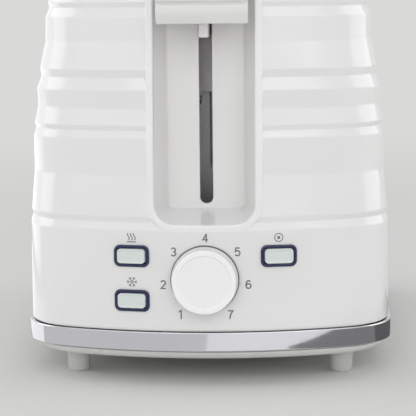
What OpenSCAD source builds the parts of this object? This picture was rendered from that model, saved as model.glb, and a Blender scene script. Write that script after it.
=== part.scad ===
// Two-slice pop-up toaster: ribbed one-piece housing, lever carriage, heaters and controls.
// +Z is up, the lever and dial face -Y, and the origin lies on the table below the middle of the toaster.

/* [Body] */
// Width across the base trim
body_w = 184; // [176:1:200]
// Length from end to end of the base trim
body_l = 290; // [286:1:320]
// Height of the top deck above the table
body_h = 212; // [210:1:224]
// Thickness of the moulded housing wall
wall = 2.5; // [2:0.1:3]
// Bow radius of the two end faces
end_bow_r = 184; // [160:2:240]
// Radius of the four upright corners
corner_r = 32.4; // [26:0.2:38]

/* [Ribs] */
// Height of the lowest groove, which ends the control panel
panel_top = 80.2; // [78:0.1:82]
// How far the other three grooves lie below the top deck
groove_drop = [87.5, 62.1, 28.3]; // [26:0.1:90]
// How far each groove lies inside the trim outline
groove_inset = [2.55, 4.8, 7.7, 11.9]; // [2:0.05:13]
// Height of the lip above each groove
lip_h = [2.6, 2.4, 3.8, 2.6]; // [2:0.2:5]
// How far the lip stands out of its groove
lip_out = 0.6; // [0.3:0.1:1]
// Height of the undercut below each groove
undercut_h = [3.8, 3.7, 6, 4.6]; // [2:0.1:7]
// Depth of the undercut below each groove
undercut = [1.05, 1.05, 2.2, 1.85]; // [0.8:0.05:2.4]
// Height of the waist of each rib, as a share of the rib
waist = [0.51, 0.41, 0.51]; // [0.35:0.01:0.6]
// How far each waist lies inside the edge above it
waist_in = [0, 0.35, -0.25]; // [-0.5:0.05:0.5]
// Radius of the shoulder round the top deck
shoulder_r = 12; // [8:1:14]

/* [Base] */
// Height of the four feet
foot_h = 12; // [10:1:13]
// Radius of a foot at the table
foot_r = 5; // [4:0.5:6]
// Distance of a foot's axis from the flank of the trim
foot_side = 25.2; // [22:0.2:32]
// Distance of a foot's axis from the end of the trim
foot_end = 37.6; // [33:0.2:50]
// Height at which the metal trim starts
trim_z = 17.2; // [16:0.2:18]
// Height of the metal trim
trim_h = 9.4; // [8:0.2:10]
// Shadow gap between the trim and the housing
trim_gap = 0.4; // [0.3:0.1:0.8]
// Thickness of the moulded base
base_wall = 2.5; // [2:0.1:3]

/* [Lever] */
// Half width of the lever channel at its mouth
channel_w = 24.5; // [23.8:0.1:26]
// Height at which the lever channel starts
channel_z = 79.2; // [78:0.2:82]
// How far the lever channel ends below the top deck
channel_drop = 13; // [12:0.5:14]
// Depth of the lever channel at its foot
channel_depth = 24; // [22:0.5:26]
// Slope of the channel walls, given as what each side loses over the depth
channel_draft = 5.3; // [4:0.1:6]
// Width of the raised border round the channel
border_w = 3.7; // [3:0.1:5]
// Half width of the slot for the lever stem
stem_slot_w = 3.2; // [3:0.1:4]
// Width of the lever knob
knob_w = 43.5; // [40:0.5:45]
// Height of the lever knob
knob_h = 19.4; // [18:0.2:20]
// How far the lever knob's underside lies below the top deck when it is up
knob_drop = 36; // [35:0.2:37]
// Thickness of the sheet-metal lever stem
stem_w = 4.4; // [3:0.2:5]

/* [Controls] */
// Height of the browning dial's axis
dial_z = 52.7; // [50:0.1:54]
// Radius of the browning dial
dial_r = 15.4; // [14:0.1:17]
// How far the browning dial stands out of the panel
dial_out = 9.3; // [8:0.1:11]
// Radius of the dial shaft
shaft_r = 3; // [2.5:0.1:3.5]
// Distance of the button columns from the dial's axis
button_x = 35.8; // [34:0.1:38]
// Height of the upper buttons
button_top_z = 63.8; // [63:0.1:65]
// Height of the lower button
button_low_z = 41.8; // [40:0.1:43]
// Width of a button cap
button_w = 14; // [12:0.1:15]
// Height of a button cap
button_h = 7.2; // [6.5:0.1:8.5]
// Travel of a button
button_travel = 1.8; // [1:0.1:1.8]

/* [Toasting chamber] */
// Distance of each bread slot from the middle
slot_x = 30; // [28:0.5:31]
// Width of a bread slot
slot_w = 36; // [32:0.5:37]
// Length of a bread slot
slot_l = 142; // [130:1:150]
// How far the chamber lies behind the middle of the body
chamber_y = 5; // [2:0.5:7]
// Thickness of the sheet-metal chassis plates
sheet = 1; // [0.8:0.1:1.2]
// How far the bread racks lie below the top deck when they are up
rack_drop = 62; // [60:0.5:63]
// Height of the bread racks when they are down
rack_low = 70; // [69:0.5:72]
// Height of the pivots of the wire bread guards
guard_z = 66; // [64:0.5:67]
// How far the wire bread guards end below the top deck
guard_drop = 26; // [22:1:36]
// Tilt of an open bread guard, in degrees
guard_tilt = 4; // [3:0.1:4.4]
// Distance from the middle of the slot to a guard's pivot
guard_x = 9; // [8.5:0.1:9.5]
// Radius of the guards' wires
wire_r = 0.9; // [0.7:0.05:1]
// Number of heating strips on each face of a heater board
strip_n = 14; // [8:1:16]
// Width of the crumb tray
tray_w = 112; // [104:1:114]
// Depth of the crumb tray
tray_h = 9; // [7:0.5:10]

/* [Hidden] */

$fn = 48;
eps = 0.01;
// Clearance between pieces that are assembled, but don't touch
gap = 0.3;
// Radial clearance of a running fit
run_gap = 0.05;

// How far the lever knob and the crumb tray's grip stand out past the ends of the trim
knob_front = 6.2;
grip_out = 2.2;

// Heights that follow from the top deck
groove_z = concat([panel_top], [for (drop = groove_drop) body_h - drop]);
channel_top = body_h - channel_drop;
knob_z = body_h - knob_drop;
rack_z = body_h - rack_drop;
lever_travel = rack_z - rack_low;
guard_h = body_h - guard_drop - guard_z;
foot_x = body_w / 2 - foot_side;
foot_y = body_l / 2 - foot_end;

// Outline and wall of the housing
bow_steps = 7;
corner_steps = 8;
housing_z = trim_z + trim_h + trim_gap;
panel_inset = 1.3;
// The dial stands out further than the tray's grip, so the body lies a little behind the origin
body_shift = (max(knob_front, dial_out - panel_inset) - grip_out) / 2;
shoulder_z = body_h - shoulder_r;
shoulder_inset = groove_inset[3] + 2.2;
deck_inset = shoulder_inset + shoulder_r;

// Chamber, seen along the toaster
plate_front = chamber_y - slot_l / 2 - 8;
plate_rear = chamber_y + slot_l / 2 + 8;
plate_w = 64;
heater_out = slot_x + slot_w / 2 + 7;
shield_x = 62;
deck_w = 52;
deck_front = plate_front - 5;
deck_rear = plate_rear + 5;
base_floor = foot_h + base_wall;
rim_inset = 2.6;
tray_z = 30;
tray_floor = 1;
tray_front = plate_front + 4;

// Carriage, seen from above
rod_x = 16;
rod_y = plate_front - 18;
rod_r = 2.5;
lug_low_z = tray_z;
lug_top_z = body_h - 16;
bracket_y = plate_front - 10;
bracket_t = 1.2;
bracket_z = rack_z - 10;
keeper_t = 2.5;
keeper_z = bracket_z - keeper_t - bracket_t - 2;
magnet_top = keeper_z - lever_travel - gap;
stem_z = knob_z - 6.8;
stem_top = stem_z + 19;

// Control end
panel_y = panel_inset - body_l / 2;
trough_back = panel_y + channel_depth;
board_y = panel_y + 20;
board_t = 1.6;
board_z = 32;
board_h = 42;
board_w = 116;
pot_t = 8;

// One quarter of the plan outline, from the middle of the front end to the flank
function quarter(inset) =
    let (
        w = body_w / 2 - inset,
        r = corner_r,
        bow = end_bow_r,
        turn = asin((w - r) / (bow - r)),
        front = inset - body_l / 2,
        centre_y = front + bow - sqrt(pow(bow - r, 2) - pow(w - r, 2))
    )
    concat(
        [for (i = [0:bow_steps]) let (a = turn * i / bow_steps) [bow * sin(a), front + bow * (1 - cos(a))]],
        [for (i = [1:corner_steps]) let (a = turn + (90 - turn) * i / corner_steps)
            [w - r + r * sin(a), centre_y - r * cos(a)]]
    );

// The whole plan outline at an inset from the trim
function outline(inset) =
    let (q = quarter(inset), n = len(q) - 1)
    concat(
        q,
        [for (i = [n:-1:0]) [q[i].x, -q[i].y]],
        [for (i = [1:n]) [-q[i].x, -q[i].y]],
        [for (i = [n:-1:1]) [-q[i].x, q[i].y]]
    );

// A solid whose plan outline changes with height; each level is [height, inset]
module stack(levels) {
    m = len(outline(0));
    top = m * (len(levels) - 1);
    rings = [for (level = levels) for (p = outline(level[1])) [p.x, p.y, level[0]]];
    sides = [for (i = [0:len(levels) - 2]) for (j = [0:m - 1])
        [i * m + j, (i + 1) * m + j, (i + 1) * m + (j + 1) % m, i * m + (j + 1) % m]];
    bottom_cap = [for (j = [0:m - 1]) j];
    top_cap = [for (j = [m - 1:-1:0]) top + j];
    polyhedron(points = rings, faces = concat([bottom_cap], sides, [top_cap]), convexity = 6);
}

// The shoulder that rounds over into the top deck
function shoulder() = [for (a = [0:15:90])
    [shoulder_z + shoulder_r * sin(a), shoulder_inset + shoulder_r * (1 - cos(a))]];

// The edge below a groove and the lip above it, as [height, inset]
function edge(i) = [groove_z[i] - undercut_h[i], groove_inset[i] - undercut[i]];
function lip(i) = [groove_z[i] + lip_h[i], groove_inset[i] - lip_out];

// One rib: from its groove over the lip, in to the waist, and up to the edge below the next groove
function rib(i) =
    let (waist_z = groove_z[i] + waist[i] * (groove_z[i + 1] - groove_z[i]))
    [[groove_z[i], groove_inset[i]], lip(i), [waist_z, edge(i + 1)[1] + waist_in[i]], edge(i + 1)];

function ribbed_wall() = concat(
    [[housing_z, panel_inset], edge(0)],
    rib(0), rib(1), rib(2),
    [[groove_z[3], groove_inset[3]], lip(3), [(lip(3)[0] + shoulder_z) / 2, shoulder_inset - 0.4]],
    shoulder()
);

// The wall over the edges of the ribs, without their grooves and waists
function plain_wall() = concat(
    [[housing_z, panel_inset]],
    [for (i = [0:3]) edge(i)],
    [lip(3)],
    shoulder()
);

// The inside of the wall
function inner_wall(clear) = concat(
    [[housing_z - 1, panel_inset + wall + clear]],
    [for (i = [0:3]) [groove_z[i], groove_inset[i] + wall + clear]],
    [[shoulder_z - 2, shoulder_inset + wall + clear], [body_h - wall - clear, deck_inset]]
);

// A plate with round corners that stands across the Y axis
module upright_plate(w, z0, z1, y0, y1, r_low, r_high) {
    depth = y1 - y0;
    hull() for (s = [-1, 1], end = [[r_low, z0 + r_low], [r_high, z1 - r_high]])
        translate([s * (w - end[0]), y1, end[1]])
            rotate([90, 0, 0]) cylinder(r = end[0], h = depth, $fn = 32);
}

// A flat plate with round corners
module flat_plate(w, y0, y1, z0, z1, r) {
    hull() for (s = [-1, 1], y = [y0 + r, y1 - r])
        translate([s * (w - r), y, z0]) cylinder(r = r, h = z1 - z0, $fn = 32);
}

// Puts a piece on the panel at a place beside the dial, square to the bowed face
module on_panel(x, z) {
    turn = asin(x / end_bow_r);
    translate([x, panel_y + end_bow_r * (1 - cos(turn)), z]) rotate([0, 0, turn]) children();
}

// A rounded oblong that runs along Y
module oblong(w, h, r, y0, y1) {
    translate([0, 0, -h / 2]) upright_plate(w / 2, 0, h, y0, y1, r, r);
}

// Moves everything from the middle of the body to the common origin
module placed() {
    translate([0, body_shift, 0]) children();
}

// ---- Housing ----

button_at = [[-button_x, button_top_z], [-button_x, button_low_z], [button_x, button_top_z]];
bezel_rim = 1.6;
bezel_w = button_w + 2 * bezel_rim + 0.5;
bezel_h = button_h + 2 * bezel_rim + 0.3;
sleeve_w = bezel_w - 1.2;
sleeve_h = bezel_h - 1.2;
tray_mouth_w = tray_w / 2 + 1.5;
mouth_low = tray_z - 1.6;
mouth_high = tray_z + tray_h + 3;
gland_z = 62;
gland_r = 6;
boss_r = 3;
boss_x = board_w / 2 - 4;
boss_low = board_z + 5;
boss_high = board_z + board_h - 5;

module housing() {
    color("whitesmoke") placed() difference() {
        union() {
            difference() {
                union() {
                    stack(ribbed_wall());
                    intersection() {
                        stack(plain_wall());
                        channel_border();
                    }
                }
                stack(inner_wall(0));
            }
            board_bosses();
        }
        upright_plate(channel_w, channel_z, channel_top, -body_l / 2 - 1, -body_l / 4, 10, 4);
        for (b = button_at) on_panel(b.x, b.y) oblong(sleeve_w + 0.2, sleeve_h + 0.2, 2.4, -5, 9);
        translate([0, 0, dial_z]) rotate([90, 0, 0]) cylinder(r = shaft_r + 1, h = body_l);
        upright_plate(tray_mouth_w, mouth_low, mouth_high, body_l / 4, body_l / 2 + 1, 2, 2);
        translate([0, body_l, gland_z]) rotate([90, 0, 0]) cylinder(r = gland_r + 0.1, h = body_l);
        flat_plate(deck_w, deck_front, deck_rear, body_h - 20, body_h + 1, 10);
        flat_plate(deck_w + 4, deck_front - 4, deck_rear + 4, body_h - sheet, body_h + 1, 12);
    }
}

// The raised border that frames the lever channel
module channel_border() {
    w = channel_w + border_w;
    upright_plate(w, channel_z - 3, channel_top + border_w, -body_l / 2 - 1, -body_l / 4, 13, 7);
}

// The bosses that carry the control board
module board_bosses() {
    intersection() {
        stack(plain_wall());
        for (x = [-boss_x, boss_x], z = [boss_low, boss_high])
            translate([x, board_y, z]) rotate([90, 0, 0]) difference() {
                cylinder(r = boss_r, h = 20, $fn = 20);
                translate([0, 0, -1]) cylinder(r = 1.2, h = 10, $fn = 16);
            }
    }
}

// ---- Lever channel ----

trough_wall = 1.6;

// The tapered space of the channel, grown by its wall where it is asked to
module channel_space(grow, front) {
    back_w = channel_w - channel_draft + grow;
    mouth_w = channel_w + grow;
    low = channel_z - grow;
    high = channel_top + grow;
    back = trough_back + grow;
    hull() {
        upright_plate(mouth_w, low, high, front - 1, front, 10, 4);
        upright_plate(mouth_w, low, low + 30, panel_y - 1, panel_y, 10, 10);
        upright_plate(back_w, low + channel_draft, high - 3, back - 1, back, 4, 4);
    }
}

module lever_trough() {
    mouth_top_y = -body_l / 2 + shoulder_inset;
    color("gainsboro") placed() difference() {
        intersection() {
            channel_space(trough_wall, mouth_top_y);
            stack(inner_wall(0));
        }
        channel_space(0, mouth_top_y);
        stem_slot();
    }
}

// The slot that the lever stem runs in
module stem_slot() {
    low = stem_z - lever_travel - 2.4;
    upright_plate(stem_slot_w, low, stem_top + 2, trough_back - 3, trough_back + trough_wall + 1,
        stem_slot_w - 0.1, stem_slot_w - 0.1);
}

// ---- Top, trim, base and feet ----

slot_lip = 8;
slot_r = 6;

module bread_slot(x, grow, z0, z1) {
    translate([x, 0, 0]) flat_plate(slot_w / 2 + grow, chamber_y - slot_l / 2 - grow,
        chamber_y + slot_l / 2 + grow, z0, z1, slot_r + grow);
}

module top_plate() {
    rim = 3.8;
    color("silver") placed() difference() {
        union() {
            flat_plate(deck_w + rim, deck_front - rim, deck_rear + rim, body_h - sheet, body_h, 12 - 0.2);
            for (x = [-slot_x, slot_x]) bread_slot(x, sheet, body_h - slot_lip, body_h + 0.6);
        }
        for (x = [-slot_x, slot_x]) bread_slot(x, 0, body_h - slot_lip - 1, body_h + 2);
    }
}

module base_trim() {
    color("lightgray") placed() difference() {
        stack([[trim_z, 0.6], [trim_z + 0.8, 0], [trim_z + trim_h - 0.8, 0], [trim_z + trim_h, 0.6]]);
        stack([[trim_z - 1, rim_inset], [trim_z + trim_h + 1, rim_inset]]);
    }
}

vent_n = 9;
vent_pitch = 13;
rail_w = 3;
rail_x = tray_w / 2 - 6;

module base_plate() {
    inner = rim_inset + base_wall;
    color("white") placed() difference() {
        union() {
            difference() {
                stack([[foot_h, 11], [foot_h + 0.6, 7], [foot_h + 1.9, 4.4], [trim_z - 0.6, 2],
                    [trim_z, 2], [trim_z + 0.01, rim_inset], [housing_z, rim_inset]]);
                stack([[base_floor, inner + 6], [base_floor + 4, inner], [housing_z + 1, inner]]);
            }
            for (s = [-1, 1]) translate([s * rail_x - rail_w / 2, tray_front + 3, base_floor - eps])
                cube([rail_w, grip_face - tray_front - 5, tray_z - gap - base_floor + eps]);
        }
        for (i = [0:vent_n - 1]) translate([0, chamber_y + (i - (vent_n - 1) / 2) * vent_pitch, 0])
            flat_plate(rail_x - 10, -2, 2, foot_h - 1, base_floor + 1, 2);
        for (x = [-foot_x, foot_x], y = [-foot_y, foot_y])
            translate([x, y, foot_h - 1]) cylinder(r = screw_r + 0.2, h = 10, $fn = 24);
        for (p = chassis_screw_at)
            translate([p.x, p.y, foot_h + 1]) cylinder(r = screw_r + 0.1, h = 10, $fn = 24);
    }
}

screw_r = 1.5;
head_r = 3;
head_h = 1.8;

// A screw that points down, with its head's seat at the origin
module screw(length) {
    translate([0, 0, -length]) cylinder(r = screw_r, h = length, $fn = 24);
    difference() {
        rotate_extrude($fn = 32) polygon([[0, 0], [head_r, 0], [head_r, head_h * 0.5], [head_r * 0.6, head_h],
            [0, head_h]]);
        for (a = [0, 90]) rotate([0, 0, a]) translate([-0.4, -head_r * 0.6, head_h - 0.8])
            cube([0.8, head_r * 1.2, 2]);
    }
}

module foot(x, y) {
    flare = 1.15;
    color("white") placed() translate([x, y, 0]) difference() {
        rotate_extrude() polygon([[0, 0], [foot_r - 0.6, 0], [foot_r, 0.6], [foot_r + flare, foot_h],
            [0, foot_h]]);
        translate([0, 0, foot_h - 7]) cylinder(r = screw_r + 0.1, h = 8, $fn = 24);
    }
}

module foot_screws() {
    color("silver") placed() for (x = [-foot_x, foot_x], y = [-foot_y, foot_y])
        translate([x, y, base_floor]) screw(base_wall + 5);
}

// ---- Chassis ----

flange_l = 12;
tray_gate = tray_w / 2 + 1.2;
flange_x = (tray_gate + plate_w) / 2;
pin_r = 1.2;
rack_t = 1;
rack_blade = 10;
board_mica = 0.8;
mica_low = 58;
mica_high = body_h - 22;
tab_low = 100;
tab_h = 40;
chassis_screw_at = [for (x = [-flange_x, flange_x])
    each [[x, plate_front - flange_l / 2], [x, plate_rear + sheet + flange_l / 2]]];

// One end plate of the chassis, with its outer face at y = 0 and its inner face at y = sheet
module end_plate_sheet() {
    neck = deck_w - 2;
    top = body_h - sheet;
    difference() {
        union() {
            translate([-plate_w, 0, base_floor]) cube([2 * plate_w, sheet, shoulder_z - 4 - base_floor]);
            translate([-neck, 0, base_floor]) cube([2 * neck, sheet, top - base_floor]);
        }
        for (x = [-slot_x, slot_x]) {
            translate([x - rack_t / 2 - 1, -1, rack_z - rack_blade - lever_travel - 2])
                cube([rack_t + 2, sheet + 2, rack_blade + lever_travel + 4]);
            for (s = [-1, 1]) translate([x + s * guard_x, -1, guard_z]) rotate([-90, 0, 0])
                cylinder(r = pin_r + run_gap, h = sheet + 2);
        }
        for (x = [-heater_out, 0, heater_out]) translate([x - board_mica / 2 - 0.1, -1, tab_low - 0.2])
            cube([board_mica + 0.2, sheet + 2, tab_h + 0.4]);
    }
}

// The foot flange of an end plate, bent away from the chamber
module foot_flange(y0) {
    difference() {
        translate([-plate_w, y0, base_floor]) cube([2 * plate_w, flange_l, sheet]);
        for (p = chassis_screw_at)
            translate([p.x, p.y, base_floor - 1]) cylinder(r = screw_r + 0.3, h = sheet + 2);
    }
}

module front_plate() {
    lug_w = rod_x + 12;
    color("darkgray") placed() {
        translate([0, plate_front, 0]) end_plate_sheet();
        foot_flange(plate_front - flange_l);
        for (z = [lug_low_z, lug_top_z]) difference() {
            translate([-lug_w, rod_y - 8, z]) cube([2 * lug_w, plate_front - rod_y + 8, sheet]);
            translate([rod_x, rod_y, z - 1]) cylinder(r = rod_r + run_gap, h = sheet + 2);
        }
    }
}

module rear_plate() {
    color("darkgray") placed() difference() {
        union() {
            translate([0, plate_rear, 0]) end_plate_sheet();
            foot_flange(plate_rear + sheet);
        }
        translate([-tray_gate, plate_rear - 1, base_floor - 1])
            cube([2 * tray_gate, flange_l + sheet + 2, tray_z + tray_h + 2 - base_floor]);
    }
}

module heat_shield(side) {
    lip = 5;
    low = tray_z + tray_h + 5;
    high = shoulder_z - 10;
    length = plate_rear - plate_front - sheet;
    color("silver") placed() translate([0, plate_front + sheet, 0]) mirror([side > 0 ? 1 : 0, 0, 0]) {
        translate([-shield_x, 0, low]) cube([sheet, length, high - low]);
        for (z = [low, high - sheet]) translate([-shield_x, 0, z]) cube([lip, length, sheet]);
    }
}

// A mica board held by a tab at each end
module heater(x) {
    length = plate_rear - plate_front - sheet;
    color("tan") placed() translate([x - board_mica / 2, plate_front + sheet, 0]) {
        translate([0, 0, mica_low]) cube([board_mica, length, mica_high - mica_low]);
        translate([0, -sheet - 1, tab_low]) cube([board_mica, length + 2 * sheet + 2, tab_h]);
    }
}

strip_h = 1.6;
strip_t = 0.3;

// The flat heating wire on both faces of a board
module ribbon(x) {
    pitch = (mica_high - mica_low - 24) / (strip_n - 1);
    margin = 10;
    length = plate_rear - plate_front - sheet - 2 * margin;
    color("slategray") placed() for (i = [0:strip_n - 1], s = [-1, 1])
        translate([x + s * (board_mica + strip_t) / 2 - strip_t / 2, plate_front + sheet + margin,
            mica_low + 12 - strip_h / 2 + i * pitch]) cube([strip_t, length, strip_h]);
}

// ---- Latch and control end ----

module guide_rod() {
    color("silver") placed() translate([rod_x, rod_y, lug_low_z - 2])
        cylinder(r = rod_r, h = lug_top_z - lug_low_z + sheet + 4);
}

spring_r = 3.6;
spring_wire = 0.45;
spring_turns = 14;
ear_z = rack_z + 4;

// The return spring, hung between the upper lug and the carriage's ear
module return_spring() {
    sides = 6;
    steps = 12;
    low = ear_z + sheet + spring_wire;
    high = lug_top_z - spring_wire;
    count = spring_turns * steps;
    points = [for (i = [0:count]) for (j = [0:sides - 1])
        let (a = 360 * i / steps, b = 360 * j / sides, r = spring_r + spring_wire * cos(b))
        [r * cos(a), r * sin(a), low + (high - low) * i / count + spring_wire * sin(b)]];
    walls = [for (i = [0:count - 1]) for (j = [0:sides - 1]) [i * sides + j, (i + 1) * sides + j,
        (i + 1) * sides + (j + 1) % sides, i * sides + (j + 1) % sides]];
    caps = [[for (j = [0:sides - 1]) j], [for (j = [sides - 1:-1:0]) count * sides + j]];
    color("silver") placed() translate([-rod_x, rod_y, 0])
        polyhedron(points, concat(walls, caps), convexity = 8);
}

core_r = 3;
coil_r = 7;
yoke_l = 24;
yoke_d = 12;
yoke_t = 3;

module magnet_yoke() {
    low = lug_low_z + sheet;
    color("dimgray") placed() translate([-rod_x, rod_y, low]) {
        translate([-yoke_l / 2, -yoke_d / 2, 0]) cube([yoke_l, yoke_d, yoke_t]);
        for (s = [-1, 1]) translate([s * (yoke_l - yoke_t) / 2 - yoke_t / 2, -yoke_d / 2, 0])
            cube([yoke_t, yoke_d, magnet_top - low]);
        cylinder(r = core_r, h = magnet_top - low);
    }
}

module magnet_coil() {
    low = lug_low_z + sheet + yoke_t;
    color("chocolate") placed() translate([-rod_x, rod_y, low]) rotate_extrude()
        polygon([[core_r + run_gap, 0], [coil_r + 1, 0], [coil_r + 1, 1], [coil_r, 1],
            [coil_r, magnet_top - low - 4], [coil_r + 1, magnet_top - low - 4],
            [coil_r + 1, magnet_top - low - 3], [core_r + run_gap, magnet_top - low - 3]]);
}

module control_board() {
    color("darkgreen") placed() difference() {
        translate([-board_w / 2, board_y, board_z]) cube([board_w, board_t, board_h]);
        for (x = [-boss_x, boss_x], z = [boss_low, boss_high])
            translate([x, board_y - 1, z]) rotate([-90, 0, 0]) cylinder(r = 1.4, h = board_t + 2, $fn = 24);
    }
}

module board_screws() {
    color("silver") placed() for (x = [-boss_x, boss_x], z = [boss_low, boss_high])
        translate([x, board_y + board_t, z]) rotate([90, 0, 0]) {
            cylinder(r = 1.1, h = 8, $fn = 24);
            translate([0, 0, -1.4]) cylinder(r = 2.4, h = 1.4, $fn = 24);
        }
}

pot_r = 8;
bush_r = 4.5;

module browning_control() {
    color("darkslategray") placed() translate([0, board_y, dial_z]) rotate([90, 0, 0]) difference() {
        union() {
            cylinder(r = pot_r, h = pot_t);
            cylinder(r = bush_r, h = pot_t + 4);
        }
        translate([0, 0, 2]) cylinder(r = shaft_r + run_gap, h = pot_t + 4);
    }
}

switch_h = 3.5;

module button_switches() {
    color("black") placed() for (b = button_at) translate([stem_at(b.x), board_y, b.y]) {
        translate([-3, -switch_h + 1, -3]) cube([6, switch_h - 1, 6]);
        rotate([90, 0, 0]) cylinder(r = 1.7, h = switch_h);
    }
}

bezel_out = 0.8;
cap_out = 1.8;
sleeve_l = 4;
plunger_r = 2;

// How deep a switch lies behind a button, and where its plunger meets the board
function switch_depth(x) =
    let (turn = asin(x / end_bow_r), face = panel_y + end_bow_r * (1 - cos(turn)))
    (board_y - switch_h - face) / cos(turn);
function stem_at(x) = x - switch_depth(x) * x / end_bow_r;

module bezel(b) {
    color("midnightblue") placed() on_panel(b.x, b.y) difference() {
        union() {
            oblong(bezel_w, bezel_h, 3, -bezel_out, 0);
            oblong(sleeve_w, sleeve_h, 2.4, -eps, sleeve_l);
        }
        oblong(button_w + 0.5, button_h + 0.5, 2, -bezel_out - 1, sleeve_l + 1);
    }
}

module button(b) {
    reach = switch_depth(b.x) - button_travel - 2 * gap;
    color("honeydew") placed() on_panel(b.x, b.y) {
        oblong(button_w, button_h, 1.8, -cap_out, sleeve_l + 0.2);
        oblong(button_w + 2, button_h + 2, 2.4, sleeve_l + 0.2, sleeve_l + 1.2);
        translate([0, sleeve_l + 1, 0]) rotate([-90, 0, 0]) cylinder(r = plunger_r, h = reach - sleeve_l - 1);
    }
}

shaft_in = 3;

// The dial: a tapered grip with a rim round a sunk front disc
module dial_knob() {
    base = 0.5;
    bore = shaft_r + 0.02;
    skirt = dial_r + 0.9;
    rim = dial_r - 2.3;
    face = dial_out - 0.9;
    color("white") placed() translate([0, panel_y, dial_z]) rotate([90, 0, 0]) rotate_extrude($fn = 96)
        polygon([[bore, base], [skirt, base], [skirt, base + 1.2], [dial_r, dial_out - 1.4],
            [dial_r - 0.5, dial_out - 0.4], [dial_r - 1.4, dial_out], [rim, dial_out - 0.2],
            [rim - 0.5, face], [0, face], [0, dial_out - shaft_in], [bore, dial_out - shaft_in]]);
}

module dial_shaft() {
    low = board_y - 3;
    color("gainsboro") placed() translate([0, low, dial_z]) rotate([90, 0, 0])
        cylinder(r = shaft_r, h = low - panel_y + dial_out - shaft_in);
}

// Two upright contact blades on a block that the front plate carries
module power_contacts() {
    block = [12, 12, 16];
    blade = [8, 0.5, 22];
    low = bracket_z - lever_travel - blade.z;
    color("ivory") placed() translate([slot_x + 8, plate_front - block.y, low]) {
        cube(block);
        for (y = [3, 8]) translate([(block.x - blade.x) / 2, y, block.z]) cube(blade);
    }
}

// The inner flange clears the inside of the wall, which leans in towards the lowest groove
module cord_gland() {
    face = body_l / 2 - panel_inset;
    seat_r = gland_r + 1.4;
    lean = (groove_inset[0] - panel_inset) * (gland_z + seat_r - housing_z + 1) / (panel_top - housing_z + 1);
    color("dimgray") placed() translate([0, face, gland_z]) rotate([-90, 0, 0]) difference() {
        union() {
            translate([0, 0, -12]) cylinder(r = gland_r, h = 12.5);
            translate([0, 0, 0.1]) cylinder(r = gland_r + 2, h = 1.2);
            translate([0, 0, -wall - lean - 1.6]) cylinder(r = seat_r, h = 1.4);
        }
        translate([0, 0, -13]) cylinder(r = cord_r, h = 16);
    }
}

cord_r = 3.5;

module terminal_block() {
    block_w = 36;
    block_d = 13;
    block_h = 12;
    pitch = 11;
    port_r = 2.2;
    y0 = plate_rear + sheet;
    color("ivory") placed() difference() {
        translate([-block_w / 2, y0, gland_z - block_h]) cube([block_w, block_d, block_h]);
        for (i = [-1:1]) translate([i * pitch, y0 + block_d / 2, gland_z - block_h / 2])
            cylinder(r = port_r, h = block_h, $fn = 24);
    }
}

module chassis_screws() {
    color("silver") placed() for (p = chassis_screw_at) translate([p.x, p.y, base_floor + sheet])
        screw(sheet + base_wall - 1.2);
}

// ---- Carriage ----

knob_d = 17;
knob_y = -body_l / 2 - knob_front;
stem_y = knob_y + knob_d - 2;
column_w = rod_x + 5;
ear_w = 5;
bush_h = 30;

// The carriage bracket, seen from the side of the stem
module stem_profile() {
    socket = 10;
    polygon([[bracket_y, stem_z], [stem_y, stem_z], [stem_y, knob_z], [knob_y + knob_d - socket, knob_z],
        [knob_y + knob_d - socket, stem_top], [bracket_y, stem_top]]);
}

module carriage_bracket() {
    tab_z = keeper_z + keeper_t;
    wing = 4;
    wing_h = 14;
    column_h = bush_h + 4;
    neck_w = 7;
    color("silver") placed() {
        translate([-slot_x - wing, bracket_y, bracket_z]) cube([2 * (slot_x + wing), bracket_t, wing_h]);
        translate([-column_w, bracket_y, bracket_z]) cube([2 * column_w, bracket_t, column_h]);
        translate([-neck_w, bracket_y, bracket_z]) cube([2 * neck_w, bracket_t, stem_top - bracket_z]);
        translate([-stem_w / 2, 0, 0]) rotate([90, 0, 90]) linear_extrude(stem_w) stem_profile();
        translate([-rod_x - ear_w, rod_y - ear_w, ear_z]) cube([2 * ear_w, bracket_y - rod_y + ear_w, sheet]);
        translate([-rod_x - yoke_l / 2, rod_y - yoke_d / 2, tab_z])
            cube([yoke_l, bracket_y - rod_y + yoke_d / 2, bracket_t]);
        translate([-rod_x - yoke_l / 2, bracket_y, tab_z]) cube([yoke_l, bracket_t, bracket_z - tab_z + 1]);
    }
}

module keeper_plate() {
    color("dimgray") placed() translate([-rod_x - yoke_l / 2, rod_y - yoke_d / 2, keeper_z])
        cube([yoke_l, yoke_d, keeper_t]);
}

module guide_bush() {
    color("ivory") placed() translate([rod_x, rod_y, bracket_z + 2]) difference() {
        union() {
            cylinder(r = rod_r + 3, h = bush_h);
            translate([-3.5, 0, 0]) cube([7, bracket_y - rod_y, bush_h]);
        }
        translate([0, 0, -1]) cylinder(r = rod_r + run_gap, h = bush_h + 2);
    }
}

// The lever knob: a bevelled bar with a grip groove, socketed on the stem
module lever_knob() {
    back = knob_y + knob_d;
    groove_mid = knob_z + 9.8;
    color("whitesmoke") placed() difference() {
        translate([-knob_w / 2, 0, 0]) rotate([90, 0, 90]) linear_extrude(knob_w) polygon([
            [back, knob_z], [knob_y + 2.4, knob_z], [knob_y + 0.4, knob_z + 4.5],
            [knob_y + 0.2, groove_mid - 0.9], [knob_y + 1.6, groove_mid - 0.5],
            [knob_y + 1.6, groove_mid + 0.5], [knob_y, groove_mid + 0.9],
            [knob_y, knob_z + knob_h - 2.5], [knob_y + 2, knob_z + knob_h],
            [back - 2, knob_z + knob_h], [back, knob_z + knob_h - 2]]);
        translate([-stem_w / 2 - run_gap, back - 10, knob_z - 1])
            cube([stem_w + 2 * run_gap, 11, stem_top - knob_z + 1 + run_gap]);
    }
}

finger_n = 9;

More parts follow.
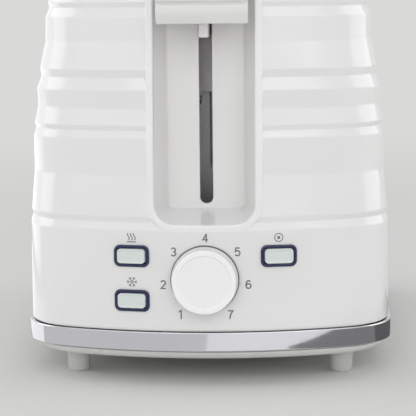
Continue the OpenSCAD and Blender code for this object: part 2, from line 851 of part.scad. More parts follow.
module rack(x) {
    start = bracket_y + bracket_t;
    finger_w = 9;
    finger_pitch = (slot_l - 12) / (finger_n - 1);
    color("silver") placed() translate([x, 0, 0]) {
        translate([-rack_t / 2, start, rack_z - rack_blade])
            cube([rack_t, plate_rear + sheet + 5 - start, rack_blade]);
        for (i = [0:finger_n - 1]) {
            finger_y = chamber_y + (i - (finger_n - 1) / 2) * finger_pitch;
            translate([-finger_w / 2, finger_y - 1.5, rack_z - rack_t]) cube([finger_w, 3, rack_t]);
        }
    }
}

wire_n = 9;

// A wire guard on its pivot, leaning open at rest
module guard(x, side) {
    front = plate_front + sheet + 4;
    rear = plate_rear - 4;
    pitch = (rear - front - 8) / (wire_n - 1);
    color("silver") placed() translate([x + side * guard_x, 0, guard_z]) rotate([0, side * guard_tilt, 0]) {
        translate([0, plate_front - 1, 0]) rotate([-90, 0, 0])
            cylinder(r = pin_r, h = plate_rear - plate_front + sheet + 2, $fn = 24);
        translate([0, front, guard_h]) rotate([-90, 0, 0]) cylinder(r = wire_r, h = rear - front, $fn = 24);
        for (i = [0:wire_n - 1]) translate([0, front + 4 + i * pitch, 0])
            cylinder(r = wire_r, h = guard_h, $fn = 24);
    }
}

// ---- Crumb tray ----

grip_face = body_l / 2 - panel_inset - wall - 9.5;

module crumb_tray() {
    color("silver") placed() translate([-tray_w / 2, tray_front, tray_z]) difference() {
        cube([tray_w, grip_face - tray_front, tray_h]);
        translate([tray_floor, tray_floor, tray_floor])
            cube([tray_w - 2 * tray_floor, grip_face - tray_front - 2 * tray_floor, tray_h]);
    }
}

module tray_grip() {
    w = tray_mouth_w - gap;
    color("whitesmoke") placed() {
        intersection() {
            stack(plain_wall());
            upright_plate(w, mouth_low + gap, mouth_high - gap, grip_face, body_l / 2 + 1, 2, 2);
        }
        translate([-20, body_l / 2 - 4, tray_z + 3]) cube([40, 4 + grip_out, 2]);
    }
}

housing();
lever_trough();
top_plate();
base_trim();
base_plate();
foot(-foot_x, -foot_y);  // foot_front_left
foot(foot_x, -foot_y);  // foot_front_right
foot(-foot_x, foot_y);  // foot_rear_left
foot(foot_x, foot_y);  // foot_rear_right
foot_screws();
front_plate();
rear_plate();
heat_shield(-1);  // heat_shield_left
heat_shield(1);  // heat_shield_right
heater(-heater_out);  // heater_left
heater(0);  // heater_centre
heater(heater_out);  // heater_right
ribbon(-heater_out);  // ribbon_left
ribbon(0);  // ribbon_centre
ribbon(heater_out);  // ribbon_right
guide_rod();
return_spring();
magnet_yoke();
magnet_coil();
control_board();
board_screws();
browning_control();
button_switches();
power_contacts();
bezel(button_at[0]);  // bezel_reheat
bezel(button_at[1]);  // bezel_defrost
bezel(button_at[2]);  // bezel_stop
cord_gland();
terminal_block();
chassis_screws();
carriage_bracket();
guide_bush();
keeper_plate();
lever_knob();
rack(-slot_x);  // rack_left
rack(slot_x);  // rack_right
guard(-slot_x, -1);  // guard_left_outer
guard(-slot_x, 1);  // guard_left_inner
guard(slot_x, -1);  // guard_right_inner
guard(slot_x, 1);  // guard_right_outer
dial_knob();
dial_shaft();
button(button_at[0]);  // button_reheat
button(button_at[1]);  // button_defrost
button(button_at[2]);  // button_stop
crumb_tray();
tray_grip();
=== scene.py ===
import math
from collections import namedtuple

import bmesh
import bpy
import numpy as np
from mathutils import Matrix, Vector


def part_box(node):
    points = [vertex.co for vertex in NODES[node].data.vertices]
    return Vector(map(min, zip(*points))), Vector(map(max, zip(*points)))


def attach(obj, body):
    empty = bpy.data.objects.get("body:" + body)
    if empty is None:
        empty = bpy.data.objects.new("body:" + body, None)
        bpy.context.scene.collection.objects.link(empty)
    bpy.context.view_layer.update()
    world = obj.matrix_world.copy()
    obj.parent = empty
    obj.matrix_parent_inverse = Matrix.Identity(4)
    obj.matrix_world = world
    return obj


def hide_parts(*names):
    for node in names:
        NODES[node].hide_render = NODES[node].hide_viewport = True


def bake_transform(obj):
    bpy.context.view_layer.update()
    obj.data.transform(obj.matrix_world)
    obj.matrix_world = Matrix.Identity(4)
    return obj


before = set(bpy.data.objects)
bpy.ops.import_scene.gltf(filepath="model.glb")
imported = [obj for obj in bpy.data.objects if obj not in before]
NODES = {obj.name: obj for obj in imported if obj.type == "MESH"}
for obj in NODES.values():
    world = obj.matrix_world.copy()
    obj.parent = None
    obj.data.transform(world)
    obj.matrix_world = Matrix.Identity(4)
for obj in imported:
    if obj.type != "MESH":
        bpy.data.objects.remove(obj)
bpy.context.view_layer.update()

MM = 0.001


def mm(*values):
    """Values given in millimetres, as metres."""
    return [v * MM for v in values]


def mm_pairs(pairs, base=0):
    """(a, b) pairs given in millimetres, as metres, with b counted from a base height."""
    return [(a * MM, base + b * MM) for a, b in pairs]


def box_middle(node):
    """The middle of a node's box."""
    low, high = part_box(node)
    return [(a + b) / 2 for a, b in zip(low, high)]


# ---- Sizes, taken from the frame where it has them ----

trim_lo, trim_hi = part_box("base_trim")
shell_lo, shell_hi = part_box("housing")
HALF_W = trim_hi.x
HALF_L = (trim_hi.y - trim_lo.y) / 2
MID_Y = (trim_hi.y + trim_lo.y) / 2
SHELL_Z = shell_lo.z
TOP_Z = shell_hi.z
WALL, BASE_WALL = 2.5 * MM, 2.5 * MM
BOW_R = 184 * MM
CORNER_R = 32.4 * MM
PANEL_INSET = 1.3 * MM
GROOVE_Z = mm(80.2, 124.5, 149.9, 183.7)
GROOVE_INSET = mm(2.55, 4.8, 7.7, 11.9)
LIP_H, LIP_OUT = mm(2.6, 2.4, 3.8, 2.6), 0.6 * MM
UNDER_H = mm(3.8, 3.7, 6, 4.6)
UNDER = mm(1.05, 1.05, 2.2, 1.85)
WAIST = (0.51, 0.41, 0.51)
WAIST_IN = mm(0, 0.35, -0.25)
# Points (height, inset) of each groove, of the edge below it and of the lip above it
GROOVES = list(zip(GROOVE_Z, GROOVE_INSET))
EDGES = [(z - down, inset - out) for (z, inset), down, out in zip(GROOVES, UNDER_H, UNDER)]
LIPS = [(z + up, inset - LIP_OUT) for (z, inset), up in zip(GROOVES, LIP_H)]
SHOULDER_R = 12 * MM
SHOULDER_INSET = GROOVE_INSET[-1] + 2.2 * MM
PANEL_Y = MID_Y - HALF_L + PANEL_INSET

CHANNEL_W, CHANNEL_Z, CHANNEL_TOP = 24.5 * MM, 79.2 * MM, 199 * MM
CHANNEL_LOW_R, CHANNEL_HIGH_R = 10 * MM, 4 * MM
CHANNEL_RECT = (CHANNEL_W, CHANNEL_Z, CHANNEL_TOP, CHANNEL_LOW_R, CHANNEL_HIGH_R)
CHANNEL_DRAFT, CHANNEL_DEPTH = 5.3 * MM, 24 * MM
CHANNEL_BACK = PANEL_Y + CHANNEL_DEPTH
BORDER_W, BORDER_STEP = 3.7 * MM, 0.45 * MM
BORDER_RECT = (CHANNEL_W + BORDER_W, CHANNEL_Z - 3 * MM, CHANNEL_TOP + BORDER_W, 13 * MM, 7 * MM)
EDGE_R = 1.1 * MM
SLOT_W = 3.2 * MM
SLOT_Z, SLOT_TOP = 86.8 * MM, CHANNEL_TOP - 7 * MM
DECK_R, DECK_GAP = 12 * MM, 0.3 * MM

tray_lo, tray_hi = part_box("tray_grip")
MOUTH_W = tray_hi.x + 0.3 * MM
MOUTH_LOW, MOUTH_HIGH = tray_lo.z - 0.3 * MM, tray_hi.z + 0.3 * MM


# ---- Mesh helpers ----

def link_object(name, data):
    obj = bpy.data.objects.new(name, data)
    bpy.context.scene.collection.objects.link(obj)
    return obj


def open_mesh(mesh):
    bm = bmesh.new()
    bm.from_mesh(mesh)
    return bm


def store(bm, mesh):
    """Writes an edited bmesh to its mesh and frees it."""
    bm.to_mesh(mesh)
    bm.free()


def new_mesh(name, verts, faces):
    mesh = bpy.data.meshes.new(name)
    mesh.from_pydata([tuple(v) for v in verts], [], [tuple(f) for f in faces])
    return mesh


def mesh_object(name, verts, faces):
    """An object made of points and faces, with its normals turned outward."""
    mesh = new_mesh(name, verts, faces)
    mesh.validate()
    bm = open_mesh(mesh)
    bmesh.ops.recalc_face_normals(bm, faces=bm.faces)
    store(bm, mesh)
    return link_object(name, mesh)


def bmesh_object(name, bm):
    mesh = bpy.data.meshes.new(name)
    store(bm, mesh)
    return link_object(name, mesh)


def smooth_by_angle(obj, angle):
    """Smooth shading that stays sharp at edges steeper than the angle."""
    mesh = obj.data
    mesh.polygons.foreach_set("use_smooth", [True] * len(mesh.polygons))
    bm = open_mesh(mesh)
    limit = math.radians(angle)
    for edge in bm.edges:
        edge.smooth = len(edge.link_faces) == 2 and edge.calc_face_angle(0) < limit
    store(bm, mesh)


def add_piece(name, verts, faces, *details, **more):
    """A mesh piece with what finish_piece gives it."""
    return finish_piece(mesh_object(name, verts, faces), *details, **more)


def finish_piece(obj, material, replaces=(), slot=None, angle=35, body="chassis"):
    """Gives an object its material, replaced CAD nodes, shading and body; its slot argument is not used."""
    obj.data.materials.clear()
    obj.data.materials.append(material)
    if angle:
        smooth_by_angle(obj, angle)
    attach(obj, body)
    if replaces:
        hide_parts(*replaces)
    return obj


def modify(obj, kind, **settings):
    """Adds a modifier and bakes it into the object's mesh."""
    modifier = obj.modifiers.new(kind, kind)
    for name, value in settings.items():
        setattr(modifier, name, value)
    graph = bpy.context.evaluated_depsgraph_get()
    old, obj.data = obj.data, bpy.data.meshes.new_from_object(obj.evaluated_get(graph))
    obj.modifiers.clear()
    bpy.data.meshes.remove(old)


def ring_solid(rings, joined=False):
    """Verts and faces of a skin over rings of points, closed by joining the last ring to the first or by
    a face at each end."""
    faces = []
    count, total = len(rings[0]), len(rings) * len(rings[0])
    for i in range(len(rings) if joined else len(rings) - 1):
        for j in range(count):
            a, b = i * count + j, i * count + (j + 1) % count
            faces.append((a, b, (b + count) % total, (a + count) % total))
    if not joined:
        faces += [tuple(range(count)), tuple(range(total - count, total))]
    return sum(rings, []), faces


def bridge(bm, rings):
    """Quads between consecutive closed rings of bmesh points."""
    for low, high in zip(rings, rings[1:]):
        for a in range(len(low)):
            b = (a + 1) % len(low)
            bm.faces.new((low[a], low[b], high[b], high[a]))


def fill_between(bm, rings, up):
    """Level triangles between closed rings of bmesh points, facing up (1) or down (-1)."""
    pairs = [pair for ring in rings for pair in zip(ring, ring[1:] + ring[:1])]
    edges = [bm.edges.get(pair) or bm.edges.new(pair) for pair in pairs]
    bmesh.ops.triangle_fill(bm, use_beauty=True, edges=edges, normal=(0, 0, up))


def joined_loops(bm, outline, steps):
    """Rings of one outline at each (grow, height), joined by quads; returns the first and last ring."""
    rings = [[bm.verts.new((px, py, z)) for px, py in outline(grow)] for grow, z in steps]
    bridge(bm, rings)
    return rings[0], rings[-1]


def revolve(profile, axis_point, axis, steps):
    """Verts and faces of a (radius, height) profile turned about an axis through a point."""
    rings = []
    for r, h in profile:
        rings.append([])
        for k in range(steps):
            a = 2 * math.pi * k / steps
            u, v = r * math.cos(a), r * math.sin(a)
            point = {"z": (u, v, h), "-y": (u, -h, v), "y": (-u, h, v)}[axis]
            rings[-1].append(Vector(axis_point) + Vector(point))
    verts, faces = ring_solid(rings)
    faces[-2] = faces[-2][::-1]
    return verts, faces


def rounded_rect(w, z0, z1, r_low, r_high, corner):
    """Points (x, z) of an upright rounded rectangle, anticlockwise as seen from the front."""
    points = []
    corners = ((w, z0, r_low, -90), (w, z1, r_high, 0), (-w, z1, r_high, 90), (-w, z0, r_low, 180))
    for cx, cz, r, start in corners:
        sx = 1 if cx > 0 else -1
        sz = 1 if cz == z0 else -1
        for k in range(corner + 1):
            a = math.radians(start + 90 * k / corner)
            points.append((cx - sx * r + r * math.cos(a), cz + sz * r + r * math.sin(a)))
    return points


def rect_distance(x, z, w, z0, z1, r_low, r_high):
    """Signed distance from an upright rounded rectangle, negative inside it."""
    mid, half = (z0 + z1) / 2, (z1 - z0) / 2
    r = np.where(z < mid, r_low, r_high)
    qx = np.abs(x) - (w - r)
    qz = np.abs(z - mid) - (half - r)
    outside = np.hypot(np.maximum(qx, 0), np.maximum(qz, 0))
    return outside + np.minimum(np.maximum(qx, qz), 0) - r


def deck_outline(w, y0, y1, r, corner=8):
    """Points (x, y) of a flat rounded rectangle."""
    mid = (y0 + y1) / 2
    return [(px, mid + pz) for px, pz in rounded_rect(w, y0 - mid, y1 - mid, r, r, corner)]


def growing_outline(w, y0, y1, r, x=0):
    """The outline of a flat rounded rectangle as a function of how far it is grown."""
    def outline(grow):
        return [(px + x, py) for px, py in deck_outline(w + grow, y0 - grow, y1 + grow, r + grow)]
    return outline


SUPPORT = 0.25 * MM


def filleted(points, radii, samples=5, support=SUPPORT):
    """A polyline with each inner corner replaced by a short curve, and a point just outside each curve
    that keeps the flats between the corners flat in shading."""
    result = [points[0]]
    for i in range(1, len(points) - 1):
        p, q, s = (np.array(points[k]) for k in (i - 1, i, i + 1))
        before, after = np.linalg.norm(q - p), np.linalg.norm(s - q)
        cut = min(radii[i], 0.48 * before, 0.48 * after)
        if cut == 0:
            result.append(tuple(q))
            continue
        a = q + (p - q) * cut / before
        b = q + (s - q) * cut / after
        if cut + 2 * support < 0.5 * before:
            result.append(tuple(a + (p - q) * support / before))
        for t in np.linspace(0, 1, samples):
            result.append(tuple((1 - t) ** 2 * a + 2 * t * (1 - t) * q + t * t * b))
        if cut + 2 * support < 0.5 * after:
            result.append(tuple(b + (s - q) * support / after))
    result.append(points[-1])
    return result


# ---- Housing surface ----

def spread(*runs):
    """Distances in metres from rising (start, stop, step) runs in millimetres."""
    return mm(*(v for start, stop, step in runs for v in np.arange(start, stop - step * 0.01, step)))


FRONT_XS = spread((0, 14, 2), (14, 24.5, 0.5), (24.5, 25.9, 0.2), (25.9, 27.4, 0.5), (27.4, 27.8, 0.2),
    (27.8, 28.6, 0.1), (28.6, 29.2, 0.2), (29.2, 46, 0.9), (46, 50.1, 2))
REAR_XS = spread((0, 10, 1), (10, 56, 2), (56, 60.1, 0.5))
BOW_STEPS, CORNER_STEPS, FLANK_STEPS = 8, 14, 9
FREE_X, BOW_SHARE = 30 * MM, 0.94


def quadrant(xs, sx, sy):
    """Columns from the middle of an end to the middle of a flank."""
    columns = [(sx, sy, "x", x, xs[-1]) for x in xs]
    columns += [(sx, sy, "bow", (k + 1) / BOW_STEPS, xs[-1]) for k in range(BOW_STEPS)]
    columns += [(sx, sy, "corner", (k + 1) / CORNER_STEPS) for k in range(CORNER_STEPS)]
    columns += [(sx, sy, "flank", (k + 1) / FLANK_STEPS) for k in range(FLANK_STEPS - 1)]
    return columns


def all_columns():
    """Columns round the whole outline, anticlockwise from the middle of the front."""
    right = quadrant(FRONT_XS, 1, -1) + quadrant(REAR_XS, 1, 1)[::-1]
    return right + quadrant(REAR_XS, -1, 1)[1:] + quadrant(FRONT_XS, -1, -1)[:0:-1]


COLUMNS = all_columns()


def column_x(t, last, limit):
    """Where an upright column lies: past FREE_X the columns close up so that they stay on the bow."""
    if t <= FREE_X:
        return t
    return FREE_X + (t - FREE_X) * (np.minimum(last, limit) - FREE_X) / (last - FREE_X)


def outline_xy(inset):
    """Plan positions for every row and column, from the inset of each."""
    x, y = np.zeros(inset.shape), np.zeros(inset.shape)
    for j, column in enumerate(COLUMNS):
        sx, sy, kind, t = column[:4]
        i = inset[:, j]
        w, front = HALF_W - i, HALF_L - i
        turn = np.arcsin((w - CORNER_R) / (BOW_R - CORNER_R))
        centre = front - BOW_R + np.sqrt((BOW_R - CORNER_R) ** 2 - (w - CORNER_R) ** 2)
        limit = BOW_SHARE * BOW_R * np.sin(turn)
        if kind == "x":
            px = column_x(t, column[4], limit) + 0 * i
            py = front - BOW_R + np.sqrt(BOW_R ** 2 - px * px)
        elif kind == "bow":
            begin = np.arcsin(np.minimum(column[4], limit) / BOW_R)
            a = begin + (turn - begin) * t
            px, py = BOW_R * np.sin(a), front - BOW_R * (1 - np.cos(a))
        elif kind == "corner":
            a = turn + (math.pi / 2 - turn) * t
            px, py = w - CORNER_R + CORNER_R * np.sin(a), centre + CORNER_R * np.cos(a)
        else:
            px, py = w, centre * (1 - t)
        x[:, j], y[:, j] = sx * px, MID_Y + sy * py
    return x, y


def outline_rings(section):
    """Rings round the plan outline, one for each (height, inset) of a section."""
    x, y = outline_xy(np.array([[inset] * len(COLUMNS) for _, inset in section]))
    return [[(px, py, z) for px, py in zip(xs, ys)] for xs, ys, (z, _) in zip(x, y, section)]


def wall_profile():
    """The ribbed wall and the plain wall as (height, inset), from the trim to the shoulder."""
    foot = [(SHELL_Z, PANEL_INSET + 0.5 * MM), (SHELL_Z + 0.8 * MM, PANEL_INSET)]
    ribs, radii = [EDGES[0]], mm(1, 0.8)
    for i in range(3):
        z0, z1 = GROOVE_Z[i], GROOVE_Z[i + 1]
        waist = (z0 + WAIST[i] * (z1 - z0), EDGES[i + 1][1] + WAIST_IN[i])
        ribs += [GROOVES[i], LIPS[i], waist, EDGES[i + 1]]
        radii += mm(0.3, 0.4, 0.7, 0.5)
    neck = ((LIPS[3][0] + TOP_Z - SHOULDER_R) / 2, SHOULDER_INSET - 0.4 * MM)
    ribs += [GROOVES[3], LIPS[3], neck]
    radii += mm(0.3, 0.4, 1.5)
    turn = [(TOP_Z - SHOULDER_R + SHOULDER_R * math.sin(a), SHOULDER_INSET + SHOULDER_R * (1 - math.cos(a)))
        for a in np.radians(range(0, 91, 6))]
    ribbed = filleted(foot + ribs + turn, [0] + radii + [3 * MM] + [0] * (len(turn) - 1))
    plain = filleted(foot + EDGES + [LIPS[3]] + turn, [3 * MM] * 8 + [0] * len(turn))
    return np.array(ribbed), np.array(plain)


RIBBED, PLAIN = wall_profile()


def wall_rows():
    """Heights and both insets of every row, with extra rows where openings need them."""
    extra = spread((30, 45, 1), (45, 58, 2), (58, 76, 1), (76, 92, 0.5), (92, 194, 4), (194, 199.2, 0.5))
    extra = sorted(extra + [CHANNEL_Z, CHANNEL_TOP])
    rows = []
    for (z0, i0), (z1, i1) in zip(RIBBED, RIBBED[1:]):
        rows.append((z0, i0))
        step = z1 - z0
        rows += [(z, i0 + (i1 - i0) * (z - z0) / step) for z in extra
            if step > 0.9 * MM and z0 + 0.3 * MM < z < z1 - 0.3 * MM]
    rows.append(tuple(RIBBED[-1]))
    rows = np.array(rows)
    return rows[:, 0], rows[:, 1], np.interp(rows[:, 0], PLAIN[:, 0], PLAIN[:, 1])


def ease(t):
    """A smooth step from 0 to 1."""
    t = np.clip(t, 0, 1)
    return t * t * (3 - 2 * t)


FUNCTIONS = ("reheat", "defrost", "stop")
BUTTON_X = 35.8 * MM
BEZEL_HALF = (8.85 * MM, (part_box("bezel_stop")[1].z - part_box("bezel_stop")[0].z) / 2)
BEZEL_RIM = 1.6 * MM
CAP_HALF = (BEZEL_HALF[0] - BEZEL_RIM - 0.25 * MM, BEZEL_HALF[1] - BEZEL_RIM - 0.15 * MM)


def panel_place(node):
    """Where a button or its bezel stands on the panel, as (x, z)."""
    x, _, z = box_middle(node)
    return math.copysign(BUTTON_X, x), z


# Openings of the end walls: the end they are in (-1 is the front), the radius of their rolled edge,
# the x of their middle and their upright rounded rectangle
Hole = namedtuple("Hole", "end edge x rect")
HOLES = [
    Hole(-1, EDGE_R, 0, CHANNEL_RECT),
    Hole(1, 0.6 * MM, 0, (MOUTH_W, MOUTH_LOW, MOUTH_HIGH, 2 * MM, 2 * MM)),
]
for function in FUNCTIONS:
    hole_x, hole_z = panel_place("bezel_" + function)
    hole_w, hole_h = (half - 0.4 * MM for half in BEZEL_HALF)
    HOLES.append(Hole(-1, 0.1 * MM, hole_x, (hole_w, hole_z - hole_h, hole_z + hole_h, 2.4 * MM, 2.4 * MM)))


def housing_grid():
    """Row by column positions of the outer wall, with the channel border and rolled hole edges, and the
    index of the hole that each point lies in, or -1."""
    z, ribbed, plain = wall_rows()
    inset = np.repeat(ribbed[:, None], len(COLUMNS), 1)
    heights = np.repeat(z[:, None], len(COLUMNS), 1)
    x, _ = outline_xy(inset)
    front = np.array([column[1] < 0 for column in COLUMNS])[None, :]
    border = rect_distance(x, heights, *BORDER_RECT)
    raised = ease(0.5 - border / BORDER_STEP) * front
    inset = inset * (1 - raised) + plain[:, None] * raised
    inside = np.zeros(inset.shape, int) - 1
    for k, hole in enumerate(HOLES):
        facing = front if hole.end < 0 else ~front
        d = rect_distance(x - hole.x, heights, *hole.rect)
        near = np.clip(hole.edge - d, 0, hole.edge)
        inset = inset + np.where(facing, hole.edge - np.sqrt(hole.edge ** 2 - near * near), 0)
        inside[(d < -1e-6) & facing] = k
    return heights, *outline_xy(inset), inside


def snap_to_hole(hole, px, pz):
    """The point of a hole's outline nearest to a point just inside it."""
    step = 0.01 * MM

    def distance(a, b):
        return float(rect_distance(np.array(a - hole.x), np.array(b), *hole.rect))

    for _ in range(3):
        d = distance(px, pz)
        gx = (distance(px + step, pz) - d) / step
        gz = (distance(px, pz + step) - d) / step
        px, pz = px - d * gx, pz - d * gz
    return px, pz


def wall_y(px, pz, end, deeper=0):
    """The y of an end's wall at a point, or of a point deeper in it: the front (end -1) has the plain
    wall there and the rear (end 1) the ribbed one."""
    table = PLAIN if end < 0 else RIBBED
    inset = float(np.interp(pz, table[:, 0], table[:, 1])) + deeper
    return MID_Y + end * (HALF_L - inset - BOW_R + math.sqrt(BOW_R ** 2 - px * px))


def thin_inner_skin(obj, first):
    """Merges the level faces of the shell's inner side, whose points start at an index."""
    bm = open_mesh(obj.data)

    def edges_within(points):
        return [e for e in bm.edges if e.verts[0] in points and e.verts[1] in points]

    inner = [v for v in bm.verts if min([v.index] + [e.other_vert(v).index for e in v.link_edges]) >= first]
    edges = edges_within(set(inner))
    bmesh.ops.dissolve_limit(bm, angle_limit=math.radians(1), verts=inner, edges=edges)
    bmesh.ops.triangulate(bm, faces=[f for f in bm.faces if len(f.verts) > 4])
    edges = edges_within({v for v in inner if v.is_valid})
    bmesh.ops.dissolve_degenerate(bm, dist=0.01 * MM, edges=edges)
    store(bm, obj.data)


def add_wall(bm):
    """The outer wall with its openings, whose edge points are moved onto the openings' outlines.
    Returns the top ring."""
    z, x, y, inside = housing_grid()
    rows, count = z.shape
    grid = [[bm.verts.new((x[i, j], y[i, j], z[i, j])) for j in range(count)] for i in range(rows)]
    moved = {}
    for i in range(rows - 1):
        for j in range(count):
            k = (j + 1) % count
            corners = [(i, j), (i, k), (i + 1, k), (i + 1, j)]
            holes = [inside[c] for c in corners]
            if min(holes) >= 0:
                continue
            moved.update({c: HOLES[hole] for c, hole in zip(corners, holes) if hole >= 0})
            bm.faces.new([grid[a][b] for a, b in corners])
    for (i, j), hole in moved.items():
        px, pz = snap_to_hole(hole, x[i, j], z[i, j])
        grid[i][j].co = (px, wall_y(px, pz, hole.end, hole.edge), pz)
    return grid[-1]


def build_housing(material, border_highlight_material):
    """The ribbed shell: outer wall, top with the deck's recess, and an inner skin."""
    bm = bmesh.new()
    rim = add_wall(bm)
    low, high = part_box("top_plate")
    recess = growing_outline(high.x + DECK_GAP, low.y - DECK_GAP, high.y + DECK_GAP, DECK_R)
    steps = mm_pairs([(0.5, 0), (0.15, -0.15), (0, -0.5), (0, -1.6)], TOP_Z)
    opening, _ = joined_loops(bm, recess, steps)
    fill_between(bm, [rim, opening], 1)
    bmesh.ops.remove_doubles(bm, verts=bm.verts, dist=0.02 * MM)
    bmesh.ops.delete(bm, geom=[v for v in bm.verts if not v.link_faces], context="VERTS")
    bmesh.ops.recalc_face_normals(bm, faces=bm.faces)
    obj = bmesh_object("housing_shell", bm)
    outer_count = len(obj.data.vertices)
    modify(obj, "SOLIDIFY", thickness=WALL - 0.4 * MM, offset=-1)
    thin_inner_skin(obj, outer_count)
    finish_piece(obj, material, ["housing"], "housing_white", 50)
    # The raised border round the channel is the same moulding as the shell; it gets a lighter white only as
    # a painted highlight.
    obj.data.materials.append(border_highlight_material)
    for polygon in obj.data.polygons:
        middle = polygon.center
        if middle.y < 0 and rect_distance(middle.x, middle.z, *BORDER_RECT) < 0.1 * MM:
            polygon.material_index = 1


# ---- Lever channel ----

CHANNEL_CORNER = 12
CHANNEL_SHEET = 1.6 * MM
BACK_W = CHANNEL_W - CHANNEL_DRAFT
BACK_LOW, BACK_TOP = CHANNEL_Z + CHANNEL_DRAFT, CHANNEL_TOP - 3 * MM


def channel_ring(w, z0, z1, r_low, r_high, depth):
    """A ring of the channel, from its mouth on the wall (depth 0) to its back plane (depth 1)."""
    points = []
    outline = rounded_rect(w, z0, z1, r_low, r_high, CHANNEL_CORNER)
    for (px, pz), (mx, mz) in zip(outline, rounded_rect(*CHANNEL_RECT, CHANNEL_CORNER)):
        start = wall_y(mx, mz, -1, EDGE_R)
        points.append((px, start + (CHANNEL_BACK - start) * depth, pz))
    return points


def flat_ring(w, z0, z1, r, deep):
    """An upright ring behind the channel's back plane."""
    return [(px, CHANNEL_BACK + deep, pz) for px, pz in rounded_rect(w, z0, z1, r, r, CHANNEL_CORNER)]


def back_ring(inward, r_low, r_high, depth):
    """A ring just inside the foot of the channel's walls."""
    return channel_ring(BACK_W - inward, BACK_LOW + inward, BACK_TOP - inward, r_low, r_high, depth)


def build_trough(material):
    """The channel's inner skin: drafted walls, a filleted foot, the back and the rimmed stem slot."""
    mouth = np.array(CHANNEL_RECT[:4])
    draft = np.array((BACK_W, BACK_LOW, BACK_TOP, 3 * MM)) - mouth
    depths = (0, 0.02, 0.06, 0.25, 0.5, 0.75, 0.9, 0.93)
    rings = [channel_ring(*(mouth + draft * t), CHANNEL_HIGH_R, t) for t in depths]
    fillet = 1 * MM
    for a in np.radians(range(0, 91, 18)):
        inward, deep = fillet * (1 - math.cos(a)), fillet * (1 - math.sin(a))
        shrink = 0.6 * inward
        rings.append(back_ring(inward, 3 * MM - shrink, CHANNEL_HIGH_R - shrink, 1 - deep / CHANNEL_DEPTH))
    rings.append(back_ring(fillet + SUPPORT, 2.2 * MM, 3.2 * MM, 1))
    for g, deep in mm_pairs([(0.8, 0), (0.5, 0), (0.15, 0.15), (0, 0.5), (0, 2.2)]):
        rings.append(flat_ring(SLOT_W + g, SLOT_Z - g, SLOT_TOP + g, SLOT_W + g - 0.05 * MM, deep))
    rim, behind, outer = 0.5 * MM, 2.2 * MM, CHANNEL_SHEET
    rings.append(flat_ring(SLOT_W + rim, SLOT_Z - rim, SLOT_TOP + rim, SLOT_W, behind))
    rings.append(flat_ring(BACK_W + outer, BACK_LOW - outer, BACK_TOP + outer, 5 * MM, behind))
    grown = np.array(CHANNEL_RECT) + outer * np.array((1, -1, 1, 1, 1))
    rings.append(channel_ring(*grown, 0.06))
    verts, faces = ring_solid(rings, True)
    faces = [face[::-1] for face in faces]
    add_piece("lever_channel", verts, faces, material, ["lever_trough"], "channel_grey")


# ---- Materials ----

def set_inputs(node, **inputs):
    """Gives inputs of a node a value or a link from a socket. In the names _ stands for a space."""
    for name, value in inputs.items():
        socket = node.inputs[name.replace("_", " ")]
        if isinstance(value, bpy.types.NodeSocket):
            node.id_data.links.new(value, socket)
        else:
            socket.default_value = value


def add_node(tree, kind, **inputs):
    """A new shader node with its inputs set."""
    node = tree.nodes.new("ShaderNode" + kind)
    set_inputs(node, **inputs)
    return node


def node_material(name):
    material = bpy.data.materials.new(name)
    material.use_nodes = True
    return material, material.node_tree


def new_material(name, colour, roughness, metallic=0, coat=0, specular=0.5):
    """A Principled material and its shader, for the detail that follows."""
    material, tree = node_material(name)
    shader = tree.nodes["Principled BSDF"]
    set_inputs(shader, Base_Color=(*colour, 1), Roughness=roughness, Metallic=metallic, Coat_Weight=coat,
        Coat_Roughness=0.06, Specular_IOR_Level=specular)
    return material, shader


def noise(shader, scale, detail=3, stretch=(1, 1, 1), roughness=0.5):
    """A noise texture in object coordinates, stretched where it is asked to."""
    tree = shader.id_data
    coords = add_node(tree, "TexCoord")
    mapping = add_node(tree, "Mapping", Vector=coords.outputs["Object"], Scale=stretch)
    texture = add_node(tree, "TexNoise", Vector=mapping.outputs["Vector"], Scale=scale, Detail=detail,
        Roughness=roughness)
    return texture.outputs["Fac"]


def shade(shader, source, colour, *stops):
    """Lightens and darkens a shader's colour by a texture, with (position, factor) stops."""
    node = add_node(shader.id_data, "ValToRGB", Fac=source)
    elements = node.color_ramp.elements
    elements[0].position, elements[1].position = stops[0][0], stops[-1][0]
    for position, _ in stops[1:-1]:
        elements.new(position)
    for element, (_, factor) in zip(elements, stops):
        element.color = (*(min(1, c * factor) for c in colour), 1)
    set_inputs(shader, Base_Color=node.outputs["Color"])


def roughen(shader, source, low, high):
    """Varies a shader's roughness between two values by a texture."""
    node = add_node(shader.id_data, "MapRange", Value=source, From_Min=0.3, From_Max=0.7, To_Min=low,
        To_Max=high)
    set_inputs(shader, Roughness=node.outputs["Result"])


def bump(shader, source, strength, distance):
    """Raises a shader's surface by a texture."""
    node = add_node(shader.id_data, "Bump", Height=source, Strength=strength, Distance=distance)
    set_inputs(shader, Normal=node.outputs["Normal"])


def gloss_plastic(name, colour, roughness=0.16, coat=0.4, texture_scale=900, bump_strength=0.05):
    """Moulded plastic: faint cloudiness, fine orange peel and handling haze in the gloss."""
    material, shader = new_material(name, colour, roughness, coat=coat)
    shade(shader, noise(shader, 14, 2), colour, (0.3, 0.99), (0.7, 1.008))
    roughen(shader, noise(shader, 55, 5, (1, 1, 0.5)), roughness * 0.94, roughness * 1.1)
    bump(shader, noise(shader, texture_scale, 2), bump_strength, 0.03 * MM)
    return material


def matte_plastic(name, colour, roughness=0.5):
    """Moulded plastic with a fine spark-eroded grain."""
    material, shader = new_material(name, colour, roughness)
    shade(shader, noise(shader, 30), colour, (0.3, 0.9), (0.7, 1.1))
    roughen(shader, noise(shader, 1800, 2), roughness * 0.85, min(1, roughness * 1.2))
    bump(shader, noise(shader, 2600, 2), 0.25, 0.04 * MM)
    return material


